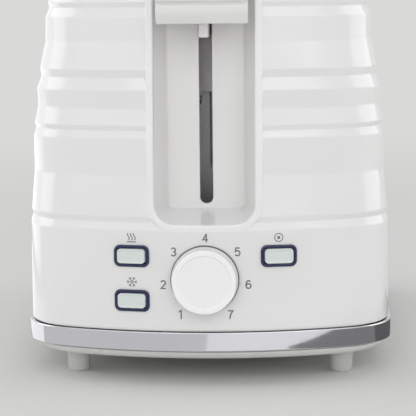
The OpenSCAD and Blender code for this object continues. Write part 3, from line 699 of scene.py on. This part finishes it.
def brushed_steel(name, colour, stretch, roughness=0.3):
    """Brushed sheet: long fine strokes in colour, gloss and height."""
    material, shader = new_material(name, colour, roughness, metallic=1)
    strokes = noise(shader, 160, 6, stretch, 0.7)
    shade(shader, strokes, colour, (0.3, 0.86), (0.7, 1.08))
    roughen(shader, strokes, roughness * 0.75, roughness * 1.35)
    bump(shader, strokes, 0.12, 0.02 * MM)
    return material


def chrome(name, colour):
    """Polished plating with a faint haze of wipe marks."""
    material, shader = new_material(name, colour, 0.07, metallic=1)
    roughen(shader, noise(shader, 40, 5, (1, 1, 5)), 0.05, 0.12)
    shade(shader, noise(shader, 9, 2), colour, (0.3, 0.95), (0.7, 1.03))
    return material


def zinc(name, colour, roughness=0.38):
    """Zinc plate: a spangle of soft patches with a little dulling."""
    material, shader = new_material(name, colour, roughness, metallic=1)
    spangle = noise(shader, 120, 4)
    shade(shader, spangle, colour, (0.3, 0.82), (0.55, 1), (0.75, 1.12))
    roughen(shader, spangle, roughness * 0.8, roughness * 1.3)
    return material


def mica_sheet(name, colour):
    """Mica board: pearly flakes in layers."""
    material, shader = new_material(name, colour, 0.55)
    flakes = noise(shader, 260, 5, (1, 0.4, 1), 0.65)
    shade(shader, flakes, colour, (0.32, 0.86), (0.5, 1), (0.68, 1.1))
    roughen(shader, flakes, 0.35, 0.7)
    bump(shader, flakes, 0.1, 0.02 * MM)
    return material


MAT = {
    "housing": gloss_plastic("housing_white_gloss", (0.83, 0.833, 0.828)),
    # Painted highlight: a lighter white for the channel border, which is the same plastic as the shell.
    "border": gloss_plastic("border_white_painted_highlight", (0.88, 0.885, 0.88), 0.12),
    # Painted shade: the channel is the housing's white plastic, made a touch darker for the shade in the
    # recess.
    "channel": gloss_plastic("channel_painted_shade_gloss", (0.82, 0.815, 0.81), 0.2),
    "knob": gloss_plastic("knob_white_gloss", (0.80, 0.81, 0.795), 0.14),
    # Painted shade and highlight on the dial, which is one moulding: its side a darker white, its front
    # ring a lighter white than the disc.
    "dial_side": gloss_plastic("dial_side_painted_shade_satin", (0.74, 0.745, 0.745), 0.26, 0.1),
    "dial_ring": gloss_plastic("dial_ring_painted_highlight_gloss", (0.99, 0.99, 0.99), 0.12, 1),
    "dial_disc": gloss_plastic("dial_disc_satin", (0.93, 0.935, 0.935), 0.34, 0),
    # Painted shade: a dark ring that stands for the shadow in the gap round the dial.
    "painted_gap_shade": matte_plastic("dial_painted_gap_shade_grey", (0.13, 0.13, 0.135)),
    # Painted shade: the base takes a darker white than the housing, for the shade that falls low on the
    # toaster.
    "base": gloss_plastic("base_white_painted_shade_satin", (0.76, 0.765, 0.75), 0.26, 0.1),
    # Partly the feet's own grey-beige, partly painted shade for the shade under the toaster.
    "foot": gloss_plastic("foot_greyish_and_painted_shade_satin", (0.61, 0.605, 0.585), 0.3, 0.1),
    "cap": gloss_plastic("button_cap_pale", (0.72, 0.775, 0.75), 0.22, 0.2),
    "navy": gloss_plastic("bezel_navy_gloss", (0.012, 0.017, 0.075), 0.22, 0, 1500, 0.1),
    "print": matte_plastic("grey_print", (0.19, 0.17, 0.165)),
    "chrome": chrome("trim_chrome", (0.70, 0.70, 0.72)),
    "steel_top": brushed_steel("top_brushed_steel", (0.68, 0.68, 0.67), (12, 0.35, 12)),
    "steel": brushed_steel("inner_brushed_steel", (0.66, 0.66, 0.65), (8, 0.5, 8), 0.4),
    # Painted light: the chassis ends' steel is lifted near white and tinted mauve so that the shaded inside
    # seen through the stem slot looks lit.
    "end_steel_painted_light": brushed_steel("chassis_brushed_steel_painted_light", (0.97, 0.92, 0.95), (8, 0.5, 8), 0.42),
    "zinc": zinc("zinc_plate", (0.74, 0.715, 0.725)),
    "wire": zinc("drawn_spring_wire", (0.68, 0.68, 0.67), 0.26),
    "iron": zinc("sintered_iron", (0.42, 0.41, 0.42), 0.5),
    "ribbon": zinc("resistance_ribbon", (0.34, 0.31, 0.29), 0.42),
    "copper": zinc("enamelled_copper", (0.62, 0.3, 0.14), 0.35),
    "mica": mica_sheet("mica_board", (0.66, 0.62, 0.56)),
    "board": matte_plastic("green_board", (0.03, 0.16, 0.06), 0.4),
    "black": matte_plastic("black_moulding", (0.03, 0.03, 0.034), 0.45),
    "ivory": matte_plastic("ivory_insulator", (0.72, 0.68, 0.57), 0.55),
    "grommet": matte_plastic("dark_grommet", (0.06, 0.06, 0.062), 0.6),
}


# ---- Top, trim and feet ----

SLOT_X, BREAD_W, BREAD_L = 30 * MM, 36 * MM, 142 * MM
CHAMBER_Y = MID_Y + 5 * MM


def build_top_plate(material):
    """The deck sheet: a softened edge and two slots whose rims are rolled up and turned down."""
    low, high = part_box("top_plate")
    deck = high.z - 0.6 * MM
    edge = [(-0.9, 0), (-0.4, -0.08), (-0.1, -0.3), (0, -0.6), (0, -1)]
    lip = [(2.2, 0), (1.7, 0.12), (1.2, 0.42), (0.8, 0.58), (0.4, 0.6), (0.12, 0.45), (0, 0.15), (0, -7.9),
        (0.3, -8), (0.9, -8), (0.9, -1)]
    bm = bmesh.new()
    plate = growing_outline(high.x, low.y, high.y, DECK_R - 0.2 * MM)
    loops = [joined_loops(bm, plate, mm_pairs(edge, deck))]
    for x in (-SLOT_X, SLOT_X):
        slot = growing_outline(BREAD_W / 2, CHAMBER_Y - BREAD_L / 2, CHAMBER_Y + BREAD_L / 2, 6 * MM, x)
        loops.append(joined_loops(bm, slot, mm_pairs(lip, deck)))
    fill_between(bm, [first for first, _ in loops], 1)
    fill_between(bm, [last for _, last in loops], -1)
    bmesh.ops.recalc_face_normals(bm, faces=bm.faces)
    finish_piece(bmesh_object("top_deck", bm), material, ["top_plate"], "steel")


def build_trim(material):
    """The bright band: a closed section carried round the plan outline."""
    low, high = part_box("base_trim")
    half, deep = 1.2 * MM, 2.5 * MM
    loop = [(low.z + half, deep), (low.z, deep), (low.z, 0)]
    loop += [(high.z, 0), (high.z, deep), (high.z - half, deep)]
    rings = outline_rings(filleted(loop, mm(0, 0, 0.45, 0.45, 0, 0), 5, 0.12 * MM))
    add_piece("trim_band", *ring_solid(rings, True), material, ["base_trim"], "trim_chrome")


FEET = ("foot_front_left", "foot_front_right", "foot_rear_left", "foot_rear_right")
FOOT_H = 12 * MM
VENT_N, VENT_PITCH, VENT_HALF = 9, 13 * MM, (40 * MM, 2 * MM)
SCREW_HOLE = 1.7 * MM


def build_base(material):
    """The moulded base: a rounded underside with vents and screw holes, and a rim behind the trim."""
    section = [(0, 12.5), (0.05, 9.5), (0.3, 7.6), (0.9, 5.8), (1.7, 4.6), (2.7, 3.5), (3.8, 2.6),
        (4.15, 2.45), (4.4, 2.55), (4.45, 3.6), (15, 3.6)]
    bm = bmesh.new()
    rings = outline_rings([(FOOT_H + z * MM, inset * MM) for z, inset in section])
    rings = [[bm.verts.new(point) for point in ring] for ring in rings]
    bridge(bm, rings)
    loops = [rings[0]]
    half_x, half_y = VENT_HALF
    for k in range(VENT_N):
        middle = CHAMBER_Y + (k - (VENT_N - 1) / 2) * VENT_PITCH
        ring = deck_outline(half_x, middle - half_y, middle + half_y, half_y * 0.99, 5)
        loops.append([bm.verts.new((px, py, FOOT_H)) for px, py in ring])
    for node in FEET:
        cx, cy, _ = box_middle(node)
        loops.append([bm.verts.new((cx + SCREW_HOLE * math.cos(a), cy + SCREW_HOLE * math.sin(a), FOOT_H))
            for a in np.linspace(0, 2 * math.pi, 20, endpoint=False)])
    fill_between(bm, loops, -1)
    bmesh.ops.recalc_face_normals(bm, faces=bm.faces)
    if sum(f.normal.z * f.calc_area() for f in bm.faces) > 0:
        bmesh.ops.reverse_faces(bm, faces=bm.faces)
    obj = bmesh_object("base_moulding", bm)
    modify(obj, "SOLIDIFY", thickness=BASE_WALL - 0.3 * MM, offset=-1)
    finish_piece(obj, material, ["base_plate"], "base_white", 40)


def build_feet(material):
    """Four tapered feet with a rounded sole."""
    for node in FEET:
        low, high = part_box(node)
        profile = mm_pairs([(4.3, 0), (5, 0.12), (5.35, 0.6), (5.6, 4), (5.95, 9)])
        profile.append(((high.x - low.x) / 2, high.z))
        foot = revolve(profile, (*box_middle(node)[:2], 0), "z", 48)
        add_piece(node + "_moulding", *foot, material, [node], "foot_white")


# ---- Lever knob and dial ----

def cut_box(obj, low, high):
    """Cuts a square hole between two corners out of a piece."""
    bm = bmesh.new()
    bmesh.ops.create_cube(bm, size=1)
    size, middle = Vector(high) - Vector(low), (Vector(high) + Vector(low)) / 2
    bmesh.ops.transform(bm, matrix=Matrix.Translation(middle) @ Matrix.Diagonal((*size, 1)), verts=bm.verts)
    cutter = bmesh_object("cutter", bm)
    modify(obj, "BOOLEAN", object=cutter, solver="EXACT")
    bpy.data.objects.remove(cutter)


def build_knob(material):
    """The lever knob: a bevelled bar with a grip groove across its front and a socket for the stem."""
    low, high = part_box("lever_knob")
    y0, y1, z0, z1 = low.y, high.y, low.z, high.z
    front = mm_pairs([(2.4, 0), (0.4, 4.5), (0.2, 8.9), (1.6, 9.3), (1.6, 10.3), (0, 10.7)], z0)
    front += mm_pairs([(0, -2.5), (2, 0)], z1)
    side = [(y1, z0)] + [(y0 + y, z) for y, z in front] + [(y1 - 2 * MM, z1), (y1, z1 - 2 * MM)]
    rings = [[(x, y, z) for y, z in side] for x in (low.x, high.x)]
    obj = mesh_object("lever_grip", *ring_solid(rings))
    modify(obj, "BEVEL", width=0.6 * MM, segments=3, limit_method="ANGLE", angle_limit=math.radians(20))
    half = 2.25 * MM
    cut_box(obj, (-half, y1 - 10 * MM, z0 - 1 * MM), (half, y1 + 1 * MM, z0 + 12.3 * MM))
    finish_piece(obj, material, ["lever_knob"], "knob_white", 30, "carriage")


DIAL_CENTRE = (0, PANEL_Y, box_middle("dial_knob")[2])


def build_dial(side_shade_material, ring_highlight_material, disc_material):
    """The browning dial: a tapered grip whose front is a raised ring round a sunk disc."""
    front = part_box("dial_knob")[0].y
    section = [(3.05, 6.2), (3.05, 0.5), (16.2, 0.5), (16.3, 1.8), (15.6, 6.6), (15.45, 9.3), (13.0, 9.3),
        (12.75, 8.5), (6, 8.55), (0.3, 8.6)]
    scale = (PANEL_Y - front) / (9.3 * MM)
    points = [(r, h * scale) for r, h in mm_pairs(section)]
    radii = mm(0, 0, 0.3, 0.4, 1.5, 0.4, 0.25, 0.2, 1, 0)
    grip = revolve(filleted(points, radii, 4), DIAL_CENTRE, "-y", 112)
    obj = add_piece("dial_grip", *grip, side_shade_material, ["dial_knob"], "knob_white", 30, "dial")
    # The side keeps the darker white as painted shade; the front ring takes the lighter white as a painted
    # highlight, and the sunk disc the dial's own white.
    obj.data.materials.append(ring_highlight_material)
    obj.data.materials.append(disc_material)
    for polygon in obj.data.polygons:
        points = [obj.data.vertices[i].co for i in polygon.vertices]
        reach = max(math.hypot(p.x, p.z - DIAL_CENTRE[2]) for p in points)
        if polygon.center.y < front + 1.2 * MM:
            polygon.material_index = 2 if reach < 12.8 * MM else 1


def build_dial_painted_shadow_ring(material):
    """A dark ring between the dial and the panel, showing as a thin outline: painted shade that stands for
    the shadow in the gap round the dial.
    """
    section = mm_pairs([(12, -0.3), (16.7, -0.3), (16.75, 0.1), (16.6, 0.3), (12, 0.3)])
    add_piece("dial_painted_shadow_ring", *revolve(section, DIAL_CENTRE, "-y", 96), material, angle=30)


# ---- Buttons, in the frame of the bowed panel ----

def panel_frame(x, z):
    """Matrix from a place's own axes (across, inward, up) to the toaster's."""
    turn = math.asin(x / BOW_R)
    y = PANEL_Y + BOW_R * (1 - math.cos(turn))
    return Matrix.Translation((x, y, z)) @ Matrix.Rotation(turn, 4, "Z")


def oblong(half, radius, section, joined=False):
    """Verts and faces of a rounded oblong, with an (inset, depth) section in millimetres."""
    rings = []
    for inset, depth in mm_pairs(section):
        w, h, r = half[0] - inset, half[1] - inset, max(0.4 * MM, radius - inset)
        rings.append([(px, depth, pz) for px, pz in rounded_rect(w, -h, h, r, r, 8)])
    return ring_solid(rings, joined)


def build_bezel(node, material):
    """A raised frame with a rolled front and the sleeve behind it."""
    section = [(0, 0), (0, -0.35), (0.12, -0.62), (0.4, -0.78), (0.85, -0.8), (1.25, -0.74), (1.52, -0.5),
        (1.6, -0.2), (1.6, 4), (0.6, 4), (0.6, 0)]
    verts, faces = oblong(BEZEL_HALF, 3 * MM, section, True)
    place = panel_frame(*panel_place(node))
    verts = [place @ Vector(v) for v in verts]
    add_piece(node + "_frame", verts, faces, material, [node], "bezel_navy", 40)


def build_cap(node, body, material):
    """A button cap: a thin raised edge round a slightly sunk face, its flange and its plunger."""
    x, z = panel_place(node)
    place = panel_frame(x, z)
    section = [(-1, 5.2), (-1, 4.2), (0, 4.2), (0, -1.3), (0.1, -1.6), (0.35, -1.78), (0.65, -1.76),
        (0.95, -1.56), (1.3, -1.5), (2.4, -1.54)]
    verts, faces = oblong(CAP_HALF, 1.8 * MM, section)
    turn = math.asin(abs(x) / BOW_R)
    reach = (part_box(node)[1].y - place.translation.y - 2 * MM * math.sin(turn)) / math.cos(turn)
    rod, rod_faces = revolve([(2 * MM, 5.2 * MM), (2 * MM, reach)], (0, 0, 0), "y", 24)
    faces += [tuple(len(verts) + k for k in face) for face in rod_faces]
    verts = [place @ Vector(v) for v in verts + [tuple(v) for v in rod]]
    add_piece(node + "_cap", verts, faces, material, [node], "cap_pale", body=body)


# ---- Print on the panel ----

PRINT_PROUD = 0.05 * MM
PRINT_SUNK = 0.1 * MM
NUMBER_RING = 20.85 * MM
NUMBER_TURN = 48
FIGURE_LINE = 0.7
NUMBER_SHIFT = (0.35 * MM, -0.5 * MM)


def print_piece(name, flat_verts, flat_faces, material):
    """Flat shapes in (x, z) laid on the bowed panel as a thin solid layer."""
    verts = []
    for lift in (PRINT_PROUD, -PRINT_SUNK):
        verts += [(px, wall_y(px, pz, -1) - lift, pz) for px, pz in flat_verts]
    n = len(flat_verts)
    faces = flat_faces + [tuple(i + n for i in reversed(f)) for f in flat_faces]
    uses = {}
    for face in flat_faces:
        for a, b in zip(face, face[1:] + face[:1]):
            uses.setdefault(frozenset((a, b)), []).append((a, b))
    faces += [(u[0][1], u[0][0], u[0][0] + n, u[0][1] + n) for u in uses.values() if len(u) == 1]
    add_piece(name, verts, faces, material, angle=0)


def arc(cx, cz, rx, rz, start, end, steps=12):
    """Points along part of an ellipse, between two angles in degrees."""
    angles = np.radians(np.linspace(start, end, steps + 1))
    return [(cx + rx * math.cos(t), cz + rz * math.sin(t)) for t in angles]


def stroke(points, width, closed=False):
    """A line of constant width through flat points, as verts and quads."""
    points = [Vector(p) for p in points]
    n = len(points)
    verts, faces = [], []
    for i, p in enumerate(points):
        first, last = not i and not closed, i == n - 1 and not closed
        onward = (p - points[i - 1] if last else points[(i + 1) % n] - p).normalized()
        arriving = onward if first else (p - points[i - 1]).normalized()
        along = (onward + arriving).normalized()
        side = Vector((-along.y, along.x)) * width / 2 / max(0.55, along.dot(onward))
        verts += [p + side, p - side]
    for i in range(n if closed else n - 1):
        a, b = 2 * i, 2 * ((i + 1) % n)
        faces.append((a, a + 1, b + 1, b))
    return verts, faces


# Centre lines of the figures in millimetres, each with whether it is closed
FIGURES = {
    1: [([(-0.95, 1.25), (0.2, 2.1), (0.2, -2.2)], False)],
    2: [(arc(0, 0.85, 1.12, 1.05, 165, -40) + [(-1.08, -1.9), (1.25, -1.9)], False)],
    3: [(arc(-0.05, 0.98, 1.0, 0.92, 152, -90), False), (arc(-0.05, -0.9, 1.15, 0.98, 90, -152), False)],
    4: [([(0.5, -2.15), (0.5, 2.05)], False), ([(0.46, 1.8), (-1.15, -0.85), (1.35, -0.85)], False)],
    5: [([(1.1, 1.88), (-0.75, 1.88), (-1.0, 0.15)] + arc(0, -0.64, 1.18, 1.24, 128, -152), False)],
    6: [(arc(0, -0.72, 1.16, 1.16, 0, 345), True), (arc(0.1, 0, 1.26, 1.9, 52, 205), False)],
    7: [([(-1.5, 1.88), (0.85, 1.88), (0.05, 0.7), (-0.45, -0.6), (-0.65, -2.15)], False)],
}


def add_strokes(verts, faces, strokes, x, z):
    """Adds strokes in millimetres to flat verts and faces, round a point of the panel."""
    for points, quads in strokes:
        faces += [tuple(len(verts) + i for i in quad) for quad in quads]
        verts += [(x + p[0] * MM, z + p[1] * MM) for p in points]


def heat_icon():
    """Three rising waves over a bar."""
    strokes = [stroke([(-2.2, -2), (2.2, -2)], 0.55)]
    for x in (-1.5, 0, 1.5):
        wave = [(x + 0.45 * math.sin(t * 5.5), -1.2 + 3.4 * t) for t in np.linspace(0, 1, 14)]
        strokes.append(stroke(wave, 0.5))
    return strokes


def frost_icon():
    """A six-armed flake."""
    strokes = []
    for k in range(6):
        arm = Matrix.Rotation(math.radians(60 * k), 2)
        strokes.append(stroke([arm @ Vector((0.3, 0)), arm @ Vector((2.5, 0))], 0.42))
        for s in (-1, 1):
            strokes.append(stroke([arm @ Vector((1.75, 0.2 * s)), arm @ Vector((2.25, 0.7 * s))], 0.34))
    return strokes


def stop_icon():
    """A ring with a square in it."""
    ring = [(2 * math.cos(a), 2 * math.sin(a)) for a in np.linspace(0, 2 * math.pi, 32, endpoint=False)]
    return [stroke(ring, 0.42, True), stroke([(-0.7, 0), (0.7, 0)], 1.4)]


SIGNS = {
    "heat_sign": (heat_icon, "bezel_reheat", 8.9 * MM),
    "frost_sign": (frost_icon, "bezel_defrost", 9.2 * MM),
    "stop_sign": (stop_icon, "bezel_stop", 8.9 * MM),
}


def build_print(material):
    """The numbers 1 to 7 round the dial and a pictogram above each button."""
    verts, faces = [], []
    for number, lines in FIGURES.items():
        turn = math.radians(NUMBER_TURN * (number - 4))
        x = NUMBER_RING * math.sin(turn) + NUMBER_SHIFT[0]
        z = DIAL_CENTRE[2] + NUMBER_RING * math.cos(turn) + NUMBER_SHIFT[1]
        add_strokes(verts, faces, [stroke(points, FIGURE_LINE, closed) for points, closed in lines], x, z)
    print_piece("dial_numbers", verts, faces, material)
    for name, (icon, node, rise) in SIGNS.items():
        x, z = panel_place(node)
        verts, faces = [], []
        add_strokes(verts, faces, icon(), x, z + rise)
        print_piece(name, verts, faces, material)


# ---- Return spring ----

def build_spring(material):
    """The return spring between the chassis and the carriage, as a smooth coil."""
    low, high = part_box("return_spring")
    wire, turns, steps, sides = 0.45 * MM, 14, 20, 8
    radius = (high.x - low.x) / 2 - wire
    cx, cy, _ = box_middle("return_spring")
    z0, z1 = low.z + wire, high.z - wire
    total = turns * steps
    rings = []
    for i in range(total + 1):
        a, z = 2 * math.pi * i / steps, z0 + (z1 - z0) * i / total
        rings.append([])
        for j in range(sides):
            b = 2 * math.pi * j / sides
            r = radius + wire * math.cos(b)
            rings[-1].append((cx + r * math.cos(a), cy + r * math.sin(a), z + wire * math.sin(b)))
    obj = link_object("spring_coil", new_mesh("spring_coil", *ring_solid(rings)))
    obj.data.materials.append(material)
    smooth_by_angle(obj, 50)
    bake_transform(obj)
    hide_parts("return_spring")


build_housing(MAT["housing"], MAT["border"])
build_trough(MAT["channel"])
build_top_plate(MAT["steel_top"])
build_trim(MAT["chrome"])
build_base(MAT["base"])
build_feet(MAT["foot"])
build_knob(MAT["knob"])
build_dial(MAT["dial_side"], MAT["dial_ring"], MAT["dial_disc"])
build_dial_painted_shadow_ring(MAT["painted_gap_shade"])
for function in FUNCTIONS:
    build_bezel("bezel_" + function, MAT["navy"])
    build_cap("button_" + function, function + "_button", MAT["cap"])
build_print(MAT["print"])
build_spring(MAT["wire"])

# ---- Materials of the pieces that keep their CAD shape ----

KEPT = {
    "housing": "tray_grip",
    "steel": "crumb_tray heat_shield_left heat_shield_right",
    "end_steel_painted_light": "front_plate rear_plate",
    "zinc": "foot_screws board_screws chassis_screws carriage_bracket guide_rod",
    "wire": "rack_left rack_right guard_left_outer guard_left_inner guard_right_inner guard_right_outer",
    "iron": "magnet_yoke keeper_plate",
    "copper": "magnet_coil",
    "mica": "heater_left heater_centre heater_right",
    "ribbon": "ribbon_left ribbon_centre ribbon_right",
    "board": "control_board",
    "black": "button_switches browning_control",
    "ivory": "power_contacts terminal_block guide_bush dial_shaft",
    "grommet": "cord_gland",
}
for key, names in KEPT.items():
    for name in names.split():
        NODES[name].data.materials.clear()
        NODES[name].data.materials.append(MAT[key])

# ---- Camera ----

CAMERA_PITCH, CAMERA_YAW, CAMERA_ROLL = 0.131427, 0.0533323, -0.0098029
CAMERA_SIDE, CAMERA_FAR, CAMERA_HIGH = 1.92958 * MM, 815.328 * MM, 195.611 * MM
CAMERA_LENS = 148.03


def place_camera():
    """The fitted viewpoint: a long lens in front, a little to the right and above."""
    data = bpy.data.cameras.new("camera")
    data.lens = CAMERA_LENS
    data.sensor_width = 36
    data.clip_start, data.clip_end = 0.05, 50
    camera = link_object("camera", data)
    stand = Matrix.Translation((0, MID_Y - HALF_L, 0)) @ Matrix.Rotation(CAMERA_YAW, 4, "Z")
    stand = stand @ Matrix.Translation((CAMERA_SIDE, -CAMERA_FAR, CAMERA_HIGH))
    aim = Matrix.Rotation(math.pi / 2 - CAMERA_PITCH, 4, "X") @ Matrix.Rotation(CAMERA_ROLL, 4, "Z")
    camera.matrix_world = stand @ aim
    bpy.context.scene.camera = camera


place_camera()

# ---- Floor and studio light ----

BACKDROP = (0.70, 0.695, 0.685)
LAMP_LEVEL = 0.56
LAMP_TARGET = Vector((0, 0, 0.11))
FLOOR_HALF = 9
FLOOR_NEAR, FLOOR_FAR = 0.35, 1.3


def area_light(name, place, size, watts):
    data = bpy.data.lights.new(name, "AREA")
    data.shape = "RECTANGLE"
    data.size, data.size_y = size
    data.energy = watts
    lamp = link_object(name, data)
    lamp.location = place
    lamp.rotation_euler = (LAMP_TARGET - Vector(place)).to_track_quat("-Z", "Y").to_euler()


def combine(tree, operation, first, second):
    """The result of an operation on two number sockets."""
    node = add_node(tree, "Math")
    node.operation = operation
    tree.links.new(first, node.inputs[0])
    tree.links.new(second, node.inputs[1])
    return node.outputs[0]


def seen_directly(tree):
    """1 for rays that look at the backdrop: camera, glossy and transmission rays."""
    rays = add_node(tree, "LightPath").outputs
    seen = combine(tree, "MAXIMUM", rays["Is Camera Ray"], rays["Is Glossy Ray"])
    return combine(tree, "MAXIMUM", seen, rays["Is Transmission Ray"])


def mix_surface(factor, first, second, output):
    """Mixes two shaders by a factor into an output node."""
    tree = factor.id_data
    mix = add_node(tree, "MixShader", Fac=factor)
    tree.links.new(first, mix.inputs[1])
    tree.links.new(second, mix.inputs[2])
    set_inputs(tree.nodes[output], Surface=mix.outputs["Shader"])


def stage_sheet(name, corners, material):
    """A flat polygon with one material, for the floor and the cards."""
    sheet = link_object(name, new_mesh(name, corners, [range(len(corners))]))
    sheet.data.materials.append(material)
    return sheet


def build_floor():
    """A pale floor that keeps the shadow near the toaster and runs into the backdrop far from it."""
    material, shader = new_material("pale_floor", BACKDROP, 0.6, specular=0)
    shade(shader, noise(shader, 3), BACKDROP, (0.3, 0.985), (0.7, 1.015))
    tree = material.node_tree
    length = add_node(tree, "VectorMath", Vector=add_node(tree, "TexCoord").outputs["Object"])
    length.operation = "LENGTH"
    far = add_node(tree, "MapRange", Value=length.outputs["Value"], From_Min=FLOOR_NEAR, From_Max=FLOOR_FAR)
    far.interpolation_type = "SMOOTHSTEP"
    factor = combine(tree, "MULTIPLY", far.outputs["Result"], seen_directly(tree))
    glow = add_node(tree, "Emission", Color=(*BACKDROP, 1))
    mix_surface(factor, shader.outputs["BSDF"], glow.outputs["Emission"], "Material Output")
    signs = ((-1, -1), (1, -1), (1, 1), (-1, 1))
    stage_sheet("floor", [(FLOOR_HALF * sx, FLOOR_HALF * sy, 0) for sx, sy in signs], material)


def card(name, level, corners):
    """A card that only shines in polished faces, as a photographer's reflector does."""
    material, tree = node_material(name)
    tree.nodes.clear()
    glow = add_node(tree, "Emission", Color=(level, level, level * 1.02, 1))
    add_node(tree, "OutputMaterial", Surface=glow.outputs["Emission"])
    sheet = stage_sheet(name, [mm(*corner) for corner in corners], material)
    sheet.visible_camera = sheet.visible_diffuse = sheet.visible_transmission = sheet.visible_shadow = False


def build_world():
    """Soft light from all sides, behind a backdrop for the rays that see it."""
    world = bpy.data.worlds.new("studio")
    world.use_nodes = True
    tree = world.node_tree
    light = tree.nodes["Background"]
    set_inputs(light, Color=(0.87, 0.87, 0.88, 1), Strength=LAMP_LEVEL)
    backdrop = add_node(tree, "Background", Color=(*BACKDROP, 1))
    shaders = [node.outputs["Background"] for node in (light, backdrop)]
    mix_surface(seen_directly(tree), *shaders, "World Output")
    bpy.context.scene.world = world


build_floor()
area_light("window_left", (-2.2, 0.5, 0.9), (2.4, 2.4), 26)
area_light("fill_right", (2.0, 0.5, 0.9), (2.0, 2.0), 15)
area_light("front", (0.2, -2.7, 1.25), (3.4, 2.4), 32)
area_light("overhead", (0, 0.1, 2.3), (2.6, 2.6), 9)

# Cards 1 mm over the floor: brightness and corners in millimetres
FLOOR_CARDS = {
    "card_grey": (0.7, [(-4, -160), (-4, -400), (-700, -400), (-420, -66), (-140, -117), (-110, -160)]),
    "card_bright": (0.93,
        [(-4, -200), (-4, -340), (420, -340), (420, -274), (142, -225), (74, -213), (70, -200)]),
    "card_dark": (0.24, [(74, -213), (142, -225), (235, -240), (235, -110), (120, -110), (74, -150)]),
    "card_dark_side": (0.13, [(120, -110), (235, -110), (235, 80), (120, 80)]),
    "card_left": (1.15, [(-140, -117), (-280, -92), (-280, 300), (-140, 300)]),
    "card_far_left": (1.7, [(-366, -12), (-1293, 362), (-700, 1500), (-200, 1500), (-366, 400)]),
}
for name, (level, corners) in FLOOR_CARDS.items():
    card(name, level, [(px, py, 1) for px, py in corners])
card("card_left_high", 1.2, [(-1293, 362, 0), (-700, 1500, 0), (-700, 1500, 600), (-1293, 362, 600)])
card("card_front_high", 1.15,
    [(-3200, -2640, 205), (3200, -2640, 205), (3200, -2640, 2200), (-3200, -2640, 2200)])

build_world()
bpy.context.scene.view_settings.view_transform = "Standard"

bpy.context.view_layer.update()
